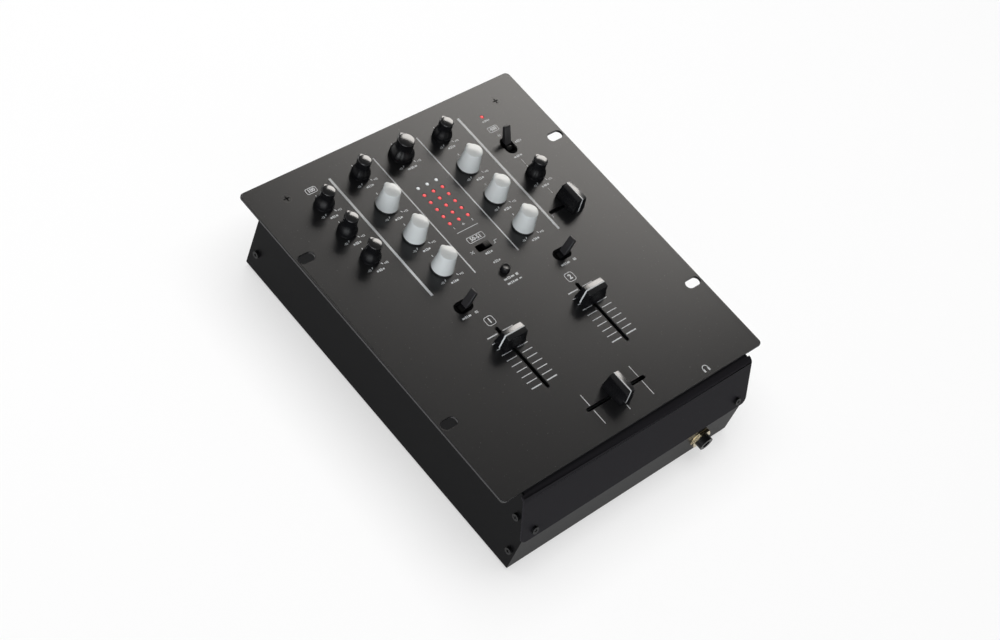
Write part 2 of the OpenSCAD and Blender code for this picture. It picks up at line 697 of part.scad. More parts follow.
module fader_bodies() color("#8b8f92") {
    for (f = FADERS) translate([f[1], f[2], 0]) rotate(f[5]) difference() {
        block(f[3] + 2 * fader_body_end, fader_body_w, board_top, -plate_t - 2.4);
        block(f[3] + 10, carriage_w + 0.4, fader_floor, carriage_top + 1);
        block(f[3] + lever_l + 3, lever_t + 1.2, carriage_top, 0);
    }
}

module fader_carriage(f) color("#c4c7ca") translate([f[1], f[2], 0]) rotate(f[5]) translate([f[4], 0, 0]) {
    block(8, carriage_w, fader_floor, carriage_top);
    block(lever_l, lever_t, carriage_top - eps, cap_gap + lever_depth);
}

lever_depth = 8.6;

cap_foot_h = 3;
// Half of the cap's outline across its length, [half width, height], from the crown to the hollow flank
CAP_CROWN = [[0, cap_h], [cap_top_w / 2, cap_h - crown_drop]];
CAP_FLANK = [for (t = [0:0.125:1]) [
    (cap_top_w + t * (cap_w - cap_top_w)) / 2 - 4 * t * (1 - t) * cap_hollow,
    cap_h - crown_drop - t * (cap_h - crown_drop - cap_foot_h)]];
CAP_HALF = concat(CAP_CROWN, [for (i = [1:len(CAP_FLANK) - 1]) CAP_FLANK[i]], [[cap_w / 2, cap_gap]]);

// A fader cap: its ridged outline along the travel, crossed with its flared outline across it
module fader_cap(f) color("#1c1c1e") translate([f[1], f[2], 0]) rotate(f[5]) translate([f[4], 0, 0])
    difference() {
        intersection() {
            rotate([90, 0, 0]) linear_extrude(cap_l, center = true) polygon(concat(CAP_HALF,
                [for (i = [len(CAP_HALF) - 1:-1:1]) [-CAP_HALF[i][0], CAP_HALF[i][1]]]));
            rotate([90, 0, 90]) linear_extrude(cap_w, center = true) polygon([
                [-cap_l / 2, cap_gap], [cap_l / 2, cap_gap], [cap_l / 2, cap_foot_h],
                [cap_top_l / 2, cap_h], [-cap_top_l / 2, cap_h], [-cap_l / 2, cap_foot_h]]);
        }
        block(lever_l, lever_t, cap_gap - 1, cap_gap + lever_depth);
    }

// ---- switches ----

pivot_d = 2;
toggle_hub_d = 9;
toggle_root_t = 4.4;

// The levers' slot is as long as the lean needs
function toggle_slot_l(lean) =
    2 * ((toggle_collar_h - toggle_pivot_z) * tan(lean) + toggle_root_t / 2 / cos(lean)) + 1.6;

module switch_bodies() color("#141416") {
    for (t = TOGGLES) translate([t[1], t[2], 0]) rotate(t[4]) difference() {
        union() {
            block(toggle_open_l + 1, toggle_open_w + 0.6, board_top, -plate_t - 0.4);
            translate([0, 0, -plate_t - 0.4 - eps]) linear_extrude(plate_t + 0.4 + toggle_collar_h + eps)
                slot(toggle_open_l - 0.4, toggle_open_w - 0.4);
        }
        translate([0, 0, toggle_pivot_z - toggle_hub_d / 2 - 1]) linear_extrude(20)
            square([max(toggle_slot_l(t[3]), toggle_hub_d + 0.8), toggle_lever_w + 0.6], center = true);
        translate([0, 0, toggle_pivot_z]) rotate([90, 0, 0])
            cylinder(d = pivot_d + 2 * run_gap, h = toggle_lever_w + 3.2, center = true);
    }
    // The slide switch's body
    translate(curve_at) difference() {
        block(curve_window_l + 5, curve_window_w + 2.4, board_top, -plate_t - 0.6);
        block(curve_slider_l + curve_throw + 0.4, curve_window_w - 0.2, curve_floor, -plate_t - 1.6);
        block(curve_nub_l + curve_throw + 1, curve_window_w - 1.2, -plate_t - 1.7, 1);
    }
    // The push button's body
    translate(button_at) difference() {
        block(button_d + 0.6, button_d + 0.6, board_top, button_body_top);
        post(plunger_d + 2 * run_gap, board_top + 0.6, 1);
    }
}

curve_nub_l = 5.2;
curve_slider_l = curve_nub_l + 2.4;
curve_floor = -plate_t - 5;

module curve_switch() color("#1d1d1f") translate([curve_throw / 2, curve_at[1], 0]) {
    block(curve_slider_l, curve_window_w - 0.6, curve_floor, -plate_t - 1.9);
    difference() {
        block(curve_nub_l, curve_window_w - 1.8, -plate_t - 2, 1.8);
        for (x = [-1.5, 0, 1.5]) translate([x, 0, 0]) block(0.5, curve_window_w, 1.2, 3);
    }
}

plunger_d = 3.4;
button_skirt = 0.6;
button_body_top = -button_skirt - button_travel - 0.6;

module push_button() color("#19191b") translate(button_at) {
    rotate_extrude() polygon([
        [0, -button_skirt], [button_d / 2, -button_skirt], [button_d / 2, button_h - 0.7],
        [button_d / 2 - 0.25, button_h - 0.2], [button_d / 2 - 0.8, button_h],
        [button_d / 2 - 1.4, button_h - 0.25], [0, button_h - 0.6]]);
    post(plunger_d, button_body_top - 1.4, -button_skirt + eps);
}

// A flat paddle on a round hub with a cross pin
module toggle_lever(t) color("#2a2a2c")
    translate([t[1], t[2], toggle_pivot_z]) rotate(t[4]) rotate([0, t[3], 0]) {
        tip = toggle_h - toggle_pivot_z;
        rotate([90, 0, 0]) {
            cylinder(d = pivot_d, h = toggle_lever_w + 3, center = true);
            cylinder(d = toggle_hub_d, h = toggle_lever_w, center = true);
            linear_extrude(toggle_lever_w, center = true) polygon([
                [-toggle_root_t / 2, 0], [toggle_root_t / 2, 0],
                [toggle_lever_t / 2, tip - 1.2], [toggle_lever_t / 2 - 0.5, tip - 0.3],
                [toggle_lever_t / 2 - 1, tip], [-toggle_lever_t / 2 + 1, tip],
                [-toggle_lever_t / 2 + 0.5, tip - 0.3], [-toggle_lever_t / 2, tip - 1.2]]);
        }
    }

// ---- sockets ----

jack_body_w = 15.4;
jack_body_l = 21;

// A jack along +Z: nose outside z = 0, body inside a wall of sheet_t
module jack() difference() {
    union() {
        post(jack_nose_d, -sheet_t - eps, jack_nose_l);
        block(jack_body_w, jack_body_w, -sheet_t - jack_body_l, -sheet_t);
    }
    translate([0, 0, jack_nose_l - jack_bore_l]) cylinder(d = jack_bore_d, h = jack_bore_l + 1);
}

module at_phones_jack() translate([phones_x, lower_y, phones_jack_z]) rotate([90, 0, 0]) children();

module phone_jacks() color("#161618") {
    at_phones_jack() jack();
    on_back(mic_x, socket_z) jack();
    // The microphone jack's body stands on the jack board
    translate([mic_x, back_y - sheet_t - jack_body_l / 2, 0])
        block(jack_body_w - 3, jack_body_l - 4, jack_board_top, socket_z - jack_body_w / 2 + eps);
}

// A washer with a hexagonal nut on it
module jack_nut() difference() {
    union() {
        post(jack_nut_w + 1.4, 0, 0.6);
        translate([0, 0, 0.6]) cylinder(d = jack_nut_w / cos(30), h = jack_nut_t, $fn = 6);
    }
    post(jack_nose_d, -1, jack_nut_t + 2);
}

module phone_jack_nuts() color("#c8c2ae") {
    at_phones_jack() jack_nut();
    on_back(mic_x, socket_z) jack_nut();
}

rca_collar_d = 11;
rca_collar_h = 0.6;
rca_end = rca_collar_h + rca_l;
rca_housing_w = 12;

// Each column holds two sockets in one housing on the jack board
module phono_sockets() color("#d9d9d6") {
    for (x = RCA_X) difference() {
        union() {
            for (s = [-1, 1]) on_back(x, socket_z + s * rca_pitch_z / 2) {
                post(rca_collar_d, -sheet_t - eps, rca_collar_h);
                post(rca_d, 0, rca_end);
            }
            translate([x, back_y - sheet_t - rca_housing_w / 2, 0])
                block(rca_housing_w, rca_housing_w, jack_board_top,
                    socket_z + (rca_pitch_z + rca_housing_w) / 2);
        }
        for (s = [-1, 1]) on_back(x, socket_z + s * rca_pitch_z / 2) {
            post(rca_bore_d, rca_end - 12, rca_end + 1);
            difference() {
                post(rca_d - 1.2, rca_end - 1, rca_end + 1);
                post(rca_bore_d + 1, rca_end - 2, rca_end + 2);
            }
        }
    }
}

ground_d = 4;

ground_head_d = 9;
ground_head_l = 5;
ground_nut_d = 7;

// Two posts with a hand nut outside and a lock nut inside
module ground_posts() color("#b9bcbf") {
    for (s = [-1, 1]) on_back(ground_x, socket_z + s * rca_pitch_z / 2) {
        post(ground_d, -sheet_t - 4, ground_head_l + ground_d);
        post(ground_head_d, 0, ground_head_l);
        post(ground_nut_d, -sheet_t - 2.4, -sheet_t);
    }
}

dc_d = 8;
dc_bore_d = 5.6;
dc_bore_l = 8;
dc_pin_d = 2;
dc_body_w = 9.4;
dc_body_l = 14;

// A barrel socket with its centre pin, on the jack board
module dc_inlet() color("#161618") {
    difference() {
        union() {
            on_back(dc_x, socket_z) post(dc_d, -sheet_t - eps, 0.6);
            translate([dc_x, back_y - sheet_t - dc_body_l / 2, 0])
                block(dc_body_w, dc_body_l, jack_board_top, socket_z + dc_d / 2 + 1.5);
        }
        on_back(dc_x, socket_z) post(dc_bore_d, -dc_bore_l, 1);
    }
    on_back(dc_x, socket_z) post(dc_pin_d, -dc_bore_l - 3, 0);
}

power_body_w = 13;
power_body_h = 19.4;
rocker_w = 9;
rocker_h = 14.8;
rocker_rise = 5;
rocker_tilt = 11;
rocker_pivot = 1.4;

module power_switch_housing() color("#161618") on_back(power_x, socket_z) difference() {
    union() {
        block(power_body_w, power_body_h, -sheet_t - 14, eps);
        block(power_body_w + 2.4, power_body_h + 2.4, 0, 1.8);
    }
    block(rocker_w + 0.6, rocker_h + 2.6, rocker_pivot - 5.4, 3);
    translate([0, 0, rocker_pivot - 2]) rotate([0, 90, 0])
        cylinder(d = pivot_d + 2 * run_gap, h = rocker_w + 3.2, center = true);
}

// The rocker tips on a pin across its middle; it is drawn pressed in at its lower half
module power_rocker() color("#1d1d20") on_back(power_x, socket_z) translate([0, 0, rocker_pivot - 2])
    rotate([-rocker_tilt, 0, 0]) {
        rotate([90, 0, 90]) linear_extrude(rocker_w, center = true) polygon([
            [0, 3.2], [rocker_h / 2 - 0.4, rocker_rise], [rocker_h / 2, 1.8], [2.2, -2], [-2.2, -2],
            [-rocker_h / 2, 1.8], [-rocker_h / 2 + 0.4, rocker_rise]]);
        rotate([0, 90, 0]) cylinder(d = pivot_d, h = rocker_w + 3, center = true);
    }

faceplate();
chassis();
front_panel();
rear_panel();
rubber_feet();
faceplate_screws();
case_screws();
potentiometer_bodies();
fader_bodies();
switch_bodies();
red_leds();
clear_leds();
main_board();
jack_board();
phone_jacks();
phone_jack_nuts();
phono_sockets();
ground_posts();
dc_inlet();
power_switch_housing();
curve_switch();
push_button();
power_rocker();
for (r = ROTARY) {
    rotary_knob(r);
    rotary_shaft(r);
}
for (f = FADERS) {
    fader_cap(f);
    fader_carriage(f);
}
for (t = TOGGLES)
    toggle_lever(t);
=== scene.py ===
# %% [markdown]
# # A two-channel mixer with a satin faceplate
# The solids come from the CAD model: a slotted faceplate over a shallow steel case, with knobs,
# faders, toggles, a meter and sockets. This lesson dresses them. It rounds the edges that catch
# the light, prints the plate, gives every surface a finish, and sets up a small studio. Blender
# works in metres. Sizes of a drawing, such as a knob's radius or the place of a printed line,
# are given in millimetres and multiplied by MM.

# %% Load the model
import math

import bmesh
import bpy
from mathutils import Matrix, Vector


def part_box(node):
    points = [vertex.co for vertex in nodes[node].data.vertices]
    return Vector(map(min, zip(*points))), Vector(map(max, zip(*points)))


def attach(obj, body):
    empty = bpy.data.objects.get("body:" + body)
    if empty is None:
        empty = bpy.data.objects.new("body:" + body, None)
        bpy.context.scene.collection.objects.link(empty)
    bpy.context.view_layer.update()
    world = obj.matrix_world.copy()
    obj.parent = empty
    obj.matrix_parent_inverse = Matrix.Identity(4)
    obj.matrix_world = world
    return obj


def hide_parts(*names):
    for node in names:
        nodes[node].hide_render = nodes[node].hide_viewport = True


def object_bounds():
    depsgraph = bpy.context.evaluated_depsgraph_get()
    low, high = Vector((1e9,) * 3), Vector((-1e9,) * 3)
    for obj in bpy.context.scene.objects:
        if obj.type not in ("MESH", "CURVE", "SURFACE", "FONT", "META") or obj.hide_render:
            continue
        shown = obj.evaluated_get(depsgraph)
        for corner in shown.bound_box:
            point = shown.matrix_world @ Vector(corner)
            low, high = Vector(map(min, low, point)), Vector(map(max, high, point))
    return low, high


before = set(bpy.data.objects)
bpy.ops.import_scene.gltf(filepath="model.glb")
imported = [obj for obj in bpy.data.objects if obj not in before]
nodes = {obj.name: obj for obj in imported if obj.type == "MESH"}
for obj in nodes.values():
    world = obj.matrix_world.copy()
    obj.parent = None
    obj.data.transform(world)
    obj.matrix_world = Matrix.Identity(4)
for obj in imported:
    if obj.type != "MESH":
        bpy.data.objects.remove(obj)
cad_box = [list(corner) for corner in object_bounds()]
MM = 0.001
print("nodes", len(nodes), "box", cad_box)

# %% [markdown]
# ## The camera
# A product camera stands in front of the mixer, to the player's left and well above it, with a
# long lens so that the plate's edges stay nearly parallel. It is rolled, so that the mixer lies
# across the frame. Aiming with a track constraint would lose the roll. Here the three directions
# of the camera are written as the columns of its rotation: right, up and backwards.

# %% Camera
camera_right = Vector((0.72354, -0.63254, 0.27638))
camera_up = Vector((0.39782, 0.70931, 0.58191))
camera_back = Vector((-0.56412, -0.31109, 0.76485))
camera_place = Vector((-0.83675, -0.47447, 1.09106))
camera_data = bpy.data.cameras.new("studio_camera")
camera_data.sensor_width = 36
camera_data.lens = 75.24
camera_data.clip_start, camera_data.clip_end = 0.05, 60
camera = bpy.data.objects.new("studio_camera", camera_data)
turn = Matrix((camera_right, camera_up, camera_back)).transposed().to_4x4()
camera.matrix_world = Matrix.Translation(camera_place) @ turn
bpy.context.scene.collection.objects.link(camera)
bpy.context.scene.camera = camera
bpy.context.scene.view_settings.view_transform = "Standard"
print("camera", [round(v, 3) for v in camera.matrix_world.translation])

# %% [markdown]
# ## The studio
# One large softbox stands behind the mixer, opposite the camera. The camera looks down at 50
# degrees and the softbox ends a little lower, at 45, so a level surface reflects it only at its
# far side. That is what draws the lighter sheen at the back of the plate and the bright half on
# each knob's top. A wide, low fill stands below the camera, where no level surface can mirror
# it, and lights the sides of the knobs. The paper has an overhead lamp of its own, as a product
# table does, so the mixer's shadow on it stays short and soft. The world is a dim room with a
# bright horizon, like a paper sweep, and where the camera looks straight at it, it is plain
# white.

# %% Lamps
def area_lamp(name, azimuth, elevation, distance, size, radiance, color=(1, 1, 1)):
    """A rectangular lamp that faces the origin, with its brightness given as radiance."""
    width, height = size
    data = bpy.data.lights.new(name, "AREA")
    data.color = color
    data.shape, data.size, data.size_y = "RECTANGLE", width, height
    data.energy = radiance * math.pi * width * height
    lamp = bpy.data.objects.new(name, data)
    a, e = math.radians(azimuth), math.radians(elevation)
    towards = Vector((math.cos(a) * math.cos(e), math.sin(a) * math.cos(e), math.sin(e)))
    lamp.location = towards * distance
    lamp.rotation_euler = towards.to_track_quat("Z", "Y").to_euler()
    bpy.context.scene.collection.objects.link(lamp)
    return lamp


softbox_top, softbox_foot, softbox_far = 45.5, 20.0, 2.2
softbox_height = 2 * softbox_far * math.tan(math.radians((softbox_top - softbox_foot) / 2))
softbox = area_lamp("softbox", azimuth=33.0, elevation=(softbox_top + softbox_foot) / 2,
                    distance=softbox_far, size=(1.04, softbox_height), radiance=7.2,
                    color=(1.0, 0.965, 0.92))
fill = area_lamp("front_fill", azimuth=-150, elevation=12, distance=2.6, size=(2.8, 1.4),
                 radiance=3.7, color=(0.97, 1.0, 1.03))
table_lamp = area_lamp("table_lamp", azimuth=90, elevation=81, distance=2.4, size=(2.6, 2.6),
                       radiance=3.6)
print("softbox height", round(softbox_height, 3), "watts", round(softbox.data.energy, 1))

# %% Node helpers
def add(tree, kind, values=None, **settings):
    """A new shader node, with settings such as its operation and values for its inputs."""
    node = tree.nodes.new("ShaderNode" + kind)
    for key, value in settings.items():
        setattr(node, key, value)
    for key, value in (values or {}).items():
        node.inputs[key].default_value = value
    return node


def wire(tree, *pairs):
    """Links the output to the input in each pair."""
    for output, entry in pairs:
        tree.links.new(output, entry)


WHITE = (1, 1, 1, 1)
print("node helpers ready")

# %% World
world = bpy.data.worlds.new("studio")
bpy.context.scene.world = world
world.use_nodes = True
tree = world.node_tree
tree.nodes.clear()
direction = add(tree, "TexCoord")
split = add(tree, "SeparateXYZ")
height_ramp = add(tree, "MapRange", {"From Min": 0.02, "From Max": 0.40,
                                     "To Min": 0.86, "To Max": 0.13})
room = add(tree, "Background", {"Color": WHITE})
paper = add(tree, "Background", {"Color": WHITE, "Strength": 1.0})
ray = add(tree, "LightPath")
choose = add(tree, "MixShader")
out = add(tree, "OutputWorld")
wire(tree,
     (direction.outputs["Generated"], split.inputs[0]),
     (split.outputs["Z"], height_ramp.inputs["Value"]),
     (height_ramp.outputs["Result"], room.inputs["Strength"]),
     (ray.outputs["Is Camera Ray"], choose.inputs[0]),
     (room.outputs[0], choose.inputs[1]),
     (paper.outputs[0], choose.inputs[2]),
     (choose.outputs[0], out.inputs["Surface"]))
print("world from", height_ramp.inputs["To Max"].default_value, "overhead")

# %% [markdown]
# ## Finishes
# Nearly every surface here is paint or moulded plastic. Close to, such a surface has a fine
# grain, a slow drift in colour and gloss, and on paint a few specks of dust. These are patterns
# at different sizes, so they are made once, as a node group, and each finish sets the scale of
# its grain and its drift. The group gives out plain values. The shader stays in each material,
# with its fixed values on its own sockets, so that a material can be read by other programs too.

# %% Colour helper
def srgb(code):
    """A colour written as on a screen, such as "#2b2b2d", as linear values."""
    parts = [int(code[i:i + 2], 16) / 255 for i in (1, 3, 5)]
    linear = [c / 12.92 if c <= 0.04045 else ((c + 0.055) / 1.055) ** 2.4 for c in parts]
    return (*linear, 1.0)


print("mid grey", [round(v, 3) for v in srgb("#808080")])

# %% Node group: surface character
def build_character():
    """Grain and drift are noise. A fleck is a small spot in a few cells of a Voronoi pattern."""
    group = bpy.data.node_groups.new("surface character", "ShaderNodeTree")
    face = group.interface
    face.new_socket("Vector", in_out="INPUT", socket_type="NodeSocketVector")
    for name, value in (("Grain Scale", 2500.0), ("Drift Scale", 12.0), ("Fleck Scale", 420.0)):
        socket = face.new_socket(name, in_out="INPUT", socket_type="NodeSocketFloat")
        socket.default_value = value
    for name in ("Grain", "Drift", "Fleck"):
        face.new_socket(name, in_out="OUTPUT", socket_type="NodeSocketFloat")
    entry, leave = group.nodes.new("NodeGroupInput"), group.nodes.new("NodeGroupOutput")
    for name, detail, rough in (("Grain", 2.0, 0.6), ("Drift", 3.0, 0.55)):
        noise = add(group, "TexNoise", {"Detail": detail, "Roughness": rough})
        wire(group,
             (entry.outputs["Vector"], noise.inputs["Vector"]),
             (entry.outputs[name + " Scale"], noise.inputs["Scale"]),
             (noise.outputs["Fac"], leave.inputs[name]))
    cells = add(group, "TexVoronoi")
    spots = add(group, "MapRange", {"From Min": 0.12, "From Max": 0.04})
    rare = add(group, "MapRange", {"From Min": 0.86, "From Max": 0.90})
    split = add(group, "SeparateColor")
    both = add(group, "Math", operation="MULTIPLY")
    wire(group,
         (entry.outputs["Vector"], cells.inputs["Vector"]),
         (entry.outputs["Fleck Scale"], cells.inputs["Scale"]),
         (cells.outputs["Distance"], spots.inputs["Value"]),
         (cells.outputs["Color"], split.inputs[0]),
         (split.outputs[0], rare.inputs["Value"]),
         (spots.outputs["Result"], both.inputs[0]),
         (rare.outputs["Result"], both.inputs[1]),
         (both.outputs[0], leave.inputs["Fleck"]))
    return group


character = build_character()
print("group outputs", [s.name for s in character.interface.items_tree if s.in_out == "OUTPUT"])

# %% Material helper
FACTOR, COLOUR_A, COLOUR_B, COLOUR_OUT = 0, 6, 7, 2  # sockets of a Mix node set to colours


def finish(name, dark, light, rough, grain_mm, drift_mm, bump_mm, fleck=0.0, metallic=0.0,
           coat=0.0, specular=0.5):
    """A procedural finish, whose colour and roughness each drift between two values."""
    material = bpy.data.materials.new(name)
    material.use_nodes = True
    tree = material.node_tree
    shader = tree.nodes["Principled BSDF"]
    shader.inputs["Metallic"].default_value = metallic
    shader.inputs["Coat Weight"].default_value = coat
    shader.inputs["Coat Roughness"].default_value = 0.12
    shader.inputs["Specular IOR Level"].default_value = specular
    where = add(tree, "TexCoord")
    surface = add(tree, "Group", node_tree=character)
    surface.inputs["Grain Scale"].default_value = 1 / (grain_mm * MM)
    surface.inputs["Drift Scale"].default_value = 1 / (drift_mm * MM)
    colour = add(tree, "Mix", {COLOUR_A: srgb(dark), COLOUR_B: srgb(light)}, data_type="RGBA")
    dust = add(tree, "Mix", {COLOUR_B: srgb("#8f8f8c")}, data_type="RGBA")
    speck = add(tree, "Math", {1: fleck}, operation="MULTIPLY")
    gloss = add(tree, "MapRange", {"From Min": 0.15, "From Max": 0.85, "To Min": rough[0],
                                   "To Max": rough[1]}, interpolation_type="SMOOTHSTEP")
    bump = add(tree, "Bump", {"Distance": bump_mm * MM})
    wire(tree,
         (where.outputs["Object"], surface.inputs["Vector"]),
         (surface.outputs["Drift"], colour.inputs[FACTOR]),
         (surface.outputs["Fleck"], speck.inputs[0]),
         (speck.outputs[0], dust.inputs[FACTOR]),
         (colour.outputs[COLOUR_OUT], dust.inputs[COLOUR_A]),
         (dust.outputs[COLOUR_OUT], shader.inputs["Base Color"]),
         (surface.outputs["Drift"], gloss.inputs["Value"]),
         (gloss.outputs["Result"], shader.inputs["Roughness"]),
         (surface.outputs["Grain"], bump.inputs["Height"]),
         (bump.outputs["Normal"], shader.inputs["Normal"]))
    return material


print("finish helper ready")

# %% [markdown]
# ## Paints
# The faceplate, the case and the leaning front are steel sheet under powder coat. Powder coat is
# a satin film with a faint orange peel, a mottle of one or two millimetres, and a little dust.
# The plate's is the smoothest, so it shows the softbox as a broad sheen. The front is as grey
# but flatter, and the case is nearly black. Silk-screen ink is a flat, nearly white film.

# %% Paint materials
plate_paint = finish("satin plate paint", "#242425", "#262627", (0.265, 0.275), grain_mm=0.35,
                     drift_mm=1.6, bump_mm=0.002, fleck=0.1, specular=0.36)
case_paint = finish("satin case paint", "#0e0e0f", "#111112", (0.36, 0.38), grain_mm=0.35,
                    drift_mm=2, bump_mm=0.003, fleck=0.15, specular=0.04)
front_paint = finish("satin front paint", "#242326", "#272629", (0.32, 0.34), grain_mm=0.35,
                     drift_mm=2, bump_mm=0.003, fleck=0.15, specular=0.018)
ink = finish("silk-screen ink", "#e9ecef", "#f0f3f5", (0.50, 0.60), grain_mm=0.12, drift_mm=6,
             bump_mm=0.003)
print("paints", plate_paint.name, case_paint.name, front_paint.name, ink.name)

# %% [markdown]
# ## Plastics and rubber
# Knobs and fader caps are moulded in glossy plastic. Their tops are polished and mirror the
# softbox, and their sides are duller. The toggles' paddles are grey nylon on black hubs, and the
# housings under the plate are matt black, so that they don't shine through the slots. The feet
# are dull rubber.

# %% Plastic materials
black_top = finish("polished black plastic", "#131315", "#18181a", (0.14, 0.17), grain_mm=0.25,
                   drift_mm=12, bump_mm=0.001, specular=0.95)
black_knob = finish("black knob plastic", "#101012", "#141416", (0.22, 0.27), grain_mm=0.25,
                    drift_mm=12, bump_mm=0.002, specular=0.27)
white_knob = finish("white knob plastic", "#dde1e1", "#e3e7e7", (0.18, 0.22), grain_mm=0.25,
                    drift_mm=12, bump_mm=0.001, specular=0.6)
skirt_black = finish("black skirt plastic", "#111113", "#151517", (0.30, 0.38), grain_mm=0.25,
                     drift_mm=12, bump_mm=0.002)
cap_black = finish("black cap plastic", "#121214", "#171719", (0.18, 0.22), grain_mm=0.25,
                   drift_mm=10, bump_mm=0.001, specular=0.95)
cap_side = finish("cap side plastic", "#101012", "#141416", (0.24, 0.30), grain_mm=0.25,
                  drift_mm=10, bump_mm=0.002, specular=0.36)
cap_white = finish("white index inlay", "#dcdfe0", "#e4e7e8", (0.35, 0.45), grain_mm=0.2,
                   drift_mm=6, bump_mm=0.002)
toggle_nylon = finish("toggle nylon", "#242325", "#2a292b", (0.32, 0.40), grain_mm=0.2, drift_mm=8,
                      bump_mm=0.004)
hub_black = finish("hub plastic", "#0a0a0b", "#0e0e10", (0.22, 0.28), grain_mm=0.2, drift_mm=8,
                   bump_mm=0.003, specular=0.3)
switch_nylon = finish("switch nylon", "#070708", "#0a0a0b", (0.70, 0.80), grain_mm=0.2, drift_mm=8,
                      bump_mm=0.004, specular=0.02)
white_collar = finish("white collar plastic", "#d6d6d2", "#dededa", (0.30, 0.40), grain_mm=0.2,
                      drift_mm=6, bump_mm=0.002)
red_collar = finish("red collar plastic", "#a3151a", "#b01a1f", (0.30, 0.40), grain_mm=0.2,
                    drift_mm=6, bump_mm=0.002)
button_plastic = finish("button plastic", "#151517", "#1b1b1d", (0.26, 0.34), grain_mm=0.2,
                        drift_mm=8, bump_mm=0.002)
rocker_plastic = finish("rocker plastic", "#111113", "#171719", (0.30, 0.38), grain_mm=0.25,
                        drift_mm=10, bump_mm=0.003)
jack_plastic = finish("jack plastic", "#0c0c0d", "#111112", (0.35, 0.45), grain_mm=0.25,
                      drift_mm=8, bump_mm=0.004, specular=0.3)
rubber = finish("foot rubber", "#121212", "#1a1a1a", (0.75, 0.9), grain_mm=0.3, drift_mm=8,
                bump_mm=0.02)
print("plastics ready")

# %% [markdown]
# ## Metals
# The jack's nut is nickel over brass, warm and bright. The phono sockets are bright nickel, the
# shafts and the faders' levers turned steel, and the potentiometers and fader bodies plain zinc.
# The case's screws are blackened steel and the plate's are lacquered. The circuit boards are
# here too, under their green solder mask.

# %% Metal materials
nickel = finish("warm nickel", "#b9ab8c", "#cdbf9f", (0.22, 0.34), grain_mm=0.15, drift_mm=5,
                bump_mm=0.003, metallic=1.0)
bright_nickel = finish("bright nickel", "#c8c8c4", "#d8d8d4", (0.16, 0.26), grain_mm=0.15,
                       drift_mm=5, bump_mm=0.002, metallic=1.0)
shaft_steel = finish("turned steel", "#a9abad", "#bdbfc1", (0.26, 0.36), grain_mm=0.12, drift_mm=4,
                     bump_mm=0.004, metallic=1.0)
zinc = finish("zinc plate", "#8d9093", "#a4a7a9", (0.35, 0.50), grain_mm=0.3, drift_mm=6,
              bump_mm=0.006, metallic=1.0)
black_steel = finish("black oxide steel", "#111112", "#171718", (0.32, 0.42), grain_mm=0.2,
                     drift_mm=4, bump_mm=0.004, specular=0.2)
screw_black = finish("black screw lacquer", "#19191a", "#1e1e1f", (0.26, 0.32), grain_mm=0.2,
                     drift_mm=4, bump_mm=0.003, specular=0.36)
board_green = finish("solder mask", "#0f3a22", "#164a2c", (0.28, 0.36), grain_mm=0.5, drift_mm=10,
                     bump_mm=0.004, coat=0.3)
print("metals ready")

# %% [markdown]
# ## Lit parts
# The meter's lights are lit: red ones glow evenly with a paler middle, where the chip shines
# through the lens, and the first row is clear. The glow is an emission colour on the lens,
# stronger towards the dome's top, so that the rim stays deep red.

# %% Lamp materials
lens_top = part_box("red_leds")[1][2]
glow_low, glow_high = lens_top - 0.0009, lens_top - 0.0001


def lens(name, rim, middle, strength):
    """A lit lens: its colour goes from rim to middle between two heights near the dome's top."""
    material = finish(name, rim, rim, (0.18, 0.24), grain_mm=0.2, drift_mm=3, bump_mm=0.001)
    tree = material.node_tree
    shader = tree.nodes["Principled BSDF"]
    where = tree.nodes["Texture Coordinate"]
    split = add(tree, "SeparateXYZ")
    rise = add(tree, "MapRange", {"From Min": glow_low, "From Max": glow_high})
    glow = add(tree, "Mix", {COLOUR_A: srgb(rim), COLOUR_B: srgb(middle)}, data_type="RGBA")
    wire(tree,
         (where.outputs["Object"], split.inputs[0]),
         (split.outputs["Z"], rise.inputs["Value"]),
         (rise.outputs["Result"], glow.inputs[FACTOR]),
         (glow.outputs[COLOUR_OUT], shader.inputs["Emission Color"]))
    shader.inputs["Emission Strength"].default_value = strength
    return material


red_lens = lens("lit red lens", "#c01822", "#ff7f80", 0.9)
clear_lens = lens("lit clear lens", "#9fa4a6", "#f4f6f6", 0.75)
print("lens top", round(lens_top / MM, 2), "mm")

# %% [markdown]
# ## Rounded copies of the solids
# The CAD solids have knife-sharp edges. Real sheet metal and mouldings have a small radius on
# every edge, and it is this radius that shows as a thin bright line. A Bevel modifier on the
# loose CAD triangles would bevel every triangle. So each solid is copied, its doubles are
# merged, flat areas are dissolved into single faces, and only the sharp outward edges get a
# bevel. The CAD node is then replaced by this copy.

# %% Helpers: piece and rounded copy
def show(name, bm, body, materials, replaces=(), smooth_under=38, flat_over_mm2=60):
    """Makes a finished object of a bmesh, with large faces flat and sharp edges kept crisp."""
    for face in bm.faces:
        face.smooth = face.calc_area() < flat_over_mm2 * MM * MM
    limit = math.radians(smooth_under)
    for edge in bm.edges:
        edge.smooth = len(edge.link_faces) == 2 and edge.calc_face_angle(0) < limit
    mesh = bpy.data.meshes.new(name)
    bm.to_mesh(mesh)
    bm.free()
    for material in materials:
        mesh.materials.append(material)
    obj = bpy.data.objects.new(name, mesh)
    bpy.context.scene.collection.objects.link(obj)
    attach(obj, body)
    if replaces:
        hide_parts(*replaces)
    return obj


def merged_copy(node):
    """A bmesh of a CAD node with its doubles merged and its flat areas made whole."""
    bm = bmesh.new()
    bm.from_mesh(nodes[node].data)
    bmesh.ops.remove_doubles(bm, verts=bm.verts, dist=2e-6)
    bmesh.ops.dissolve_limit(bm, angle_limit=math.radians(0.6), use_dissolve_boundaries=False,
                             verts=bm.verts, edges=bm.edges, delimit=set())
    for face in bm.faces:
        face.material_index = 0
    return bm


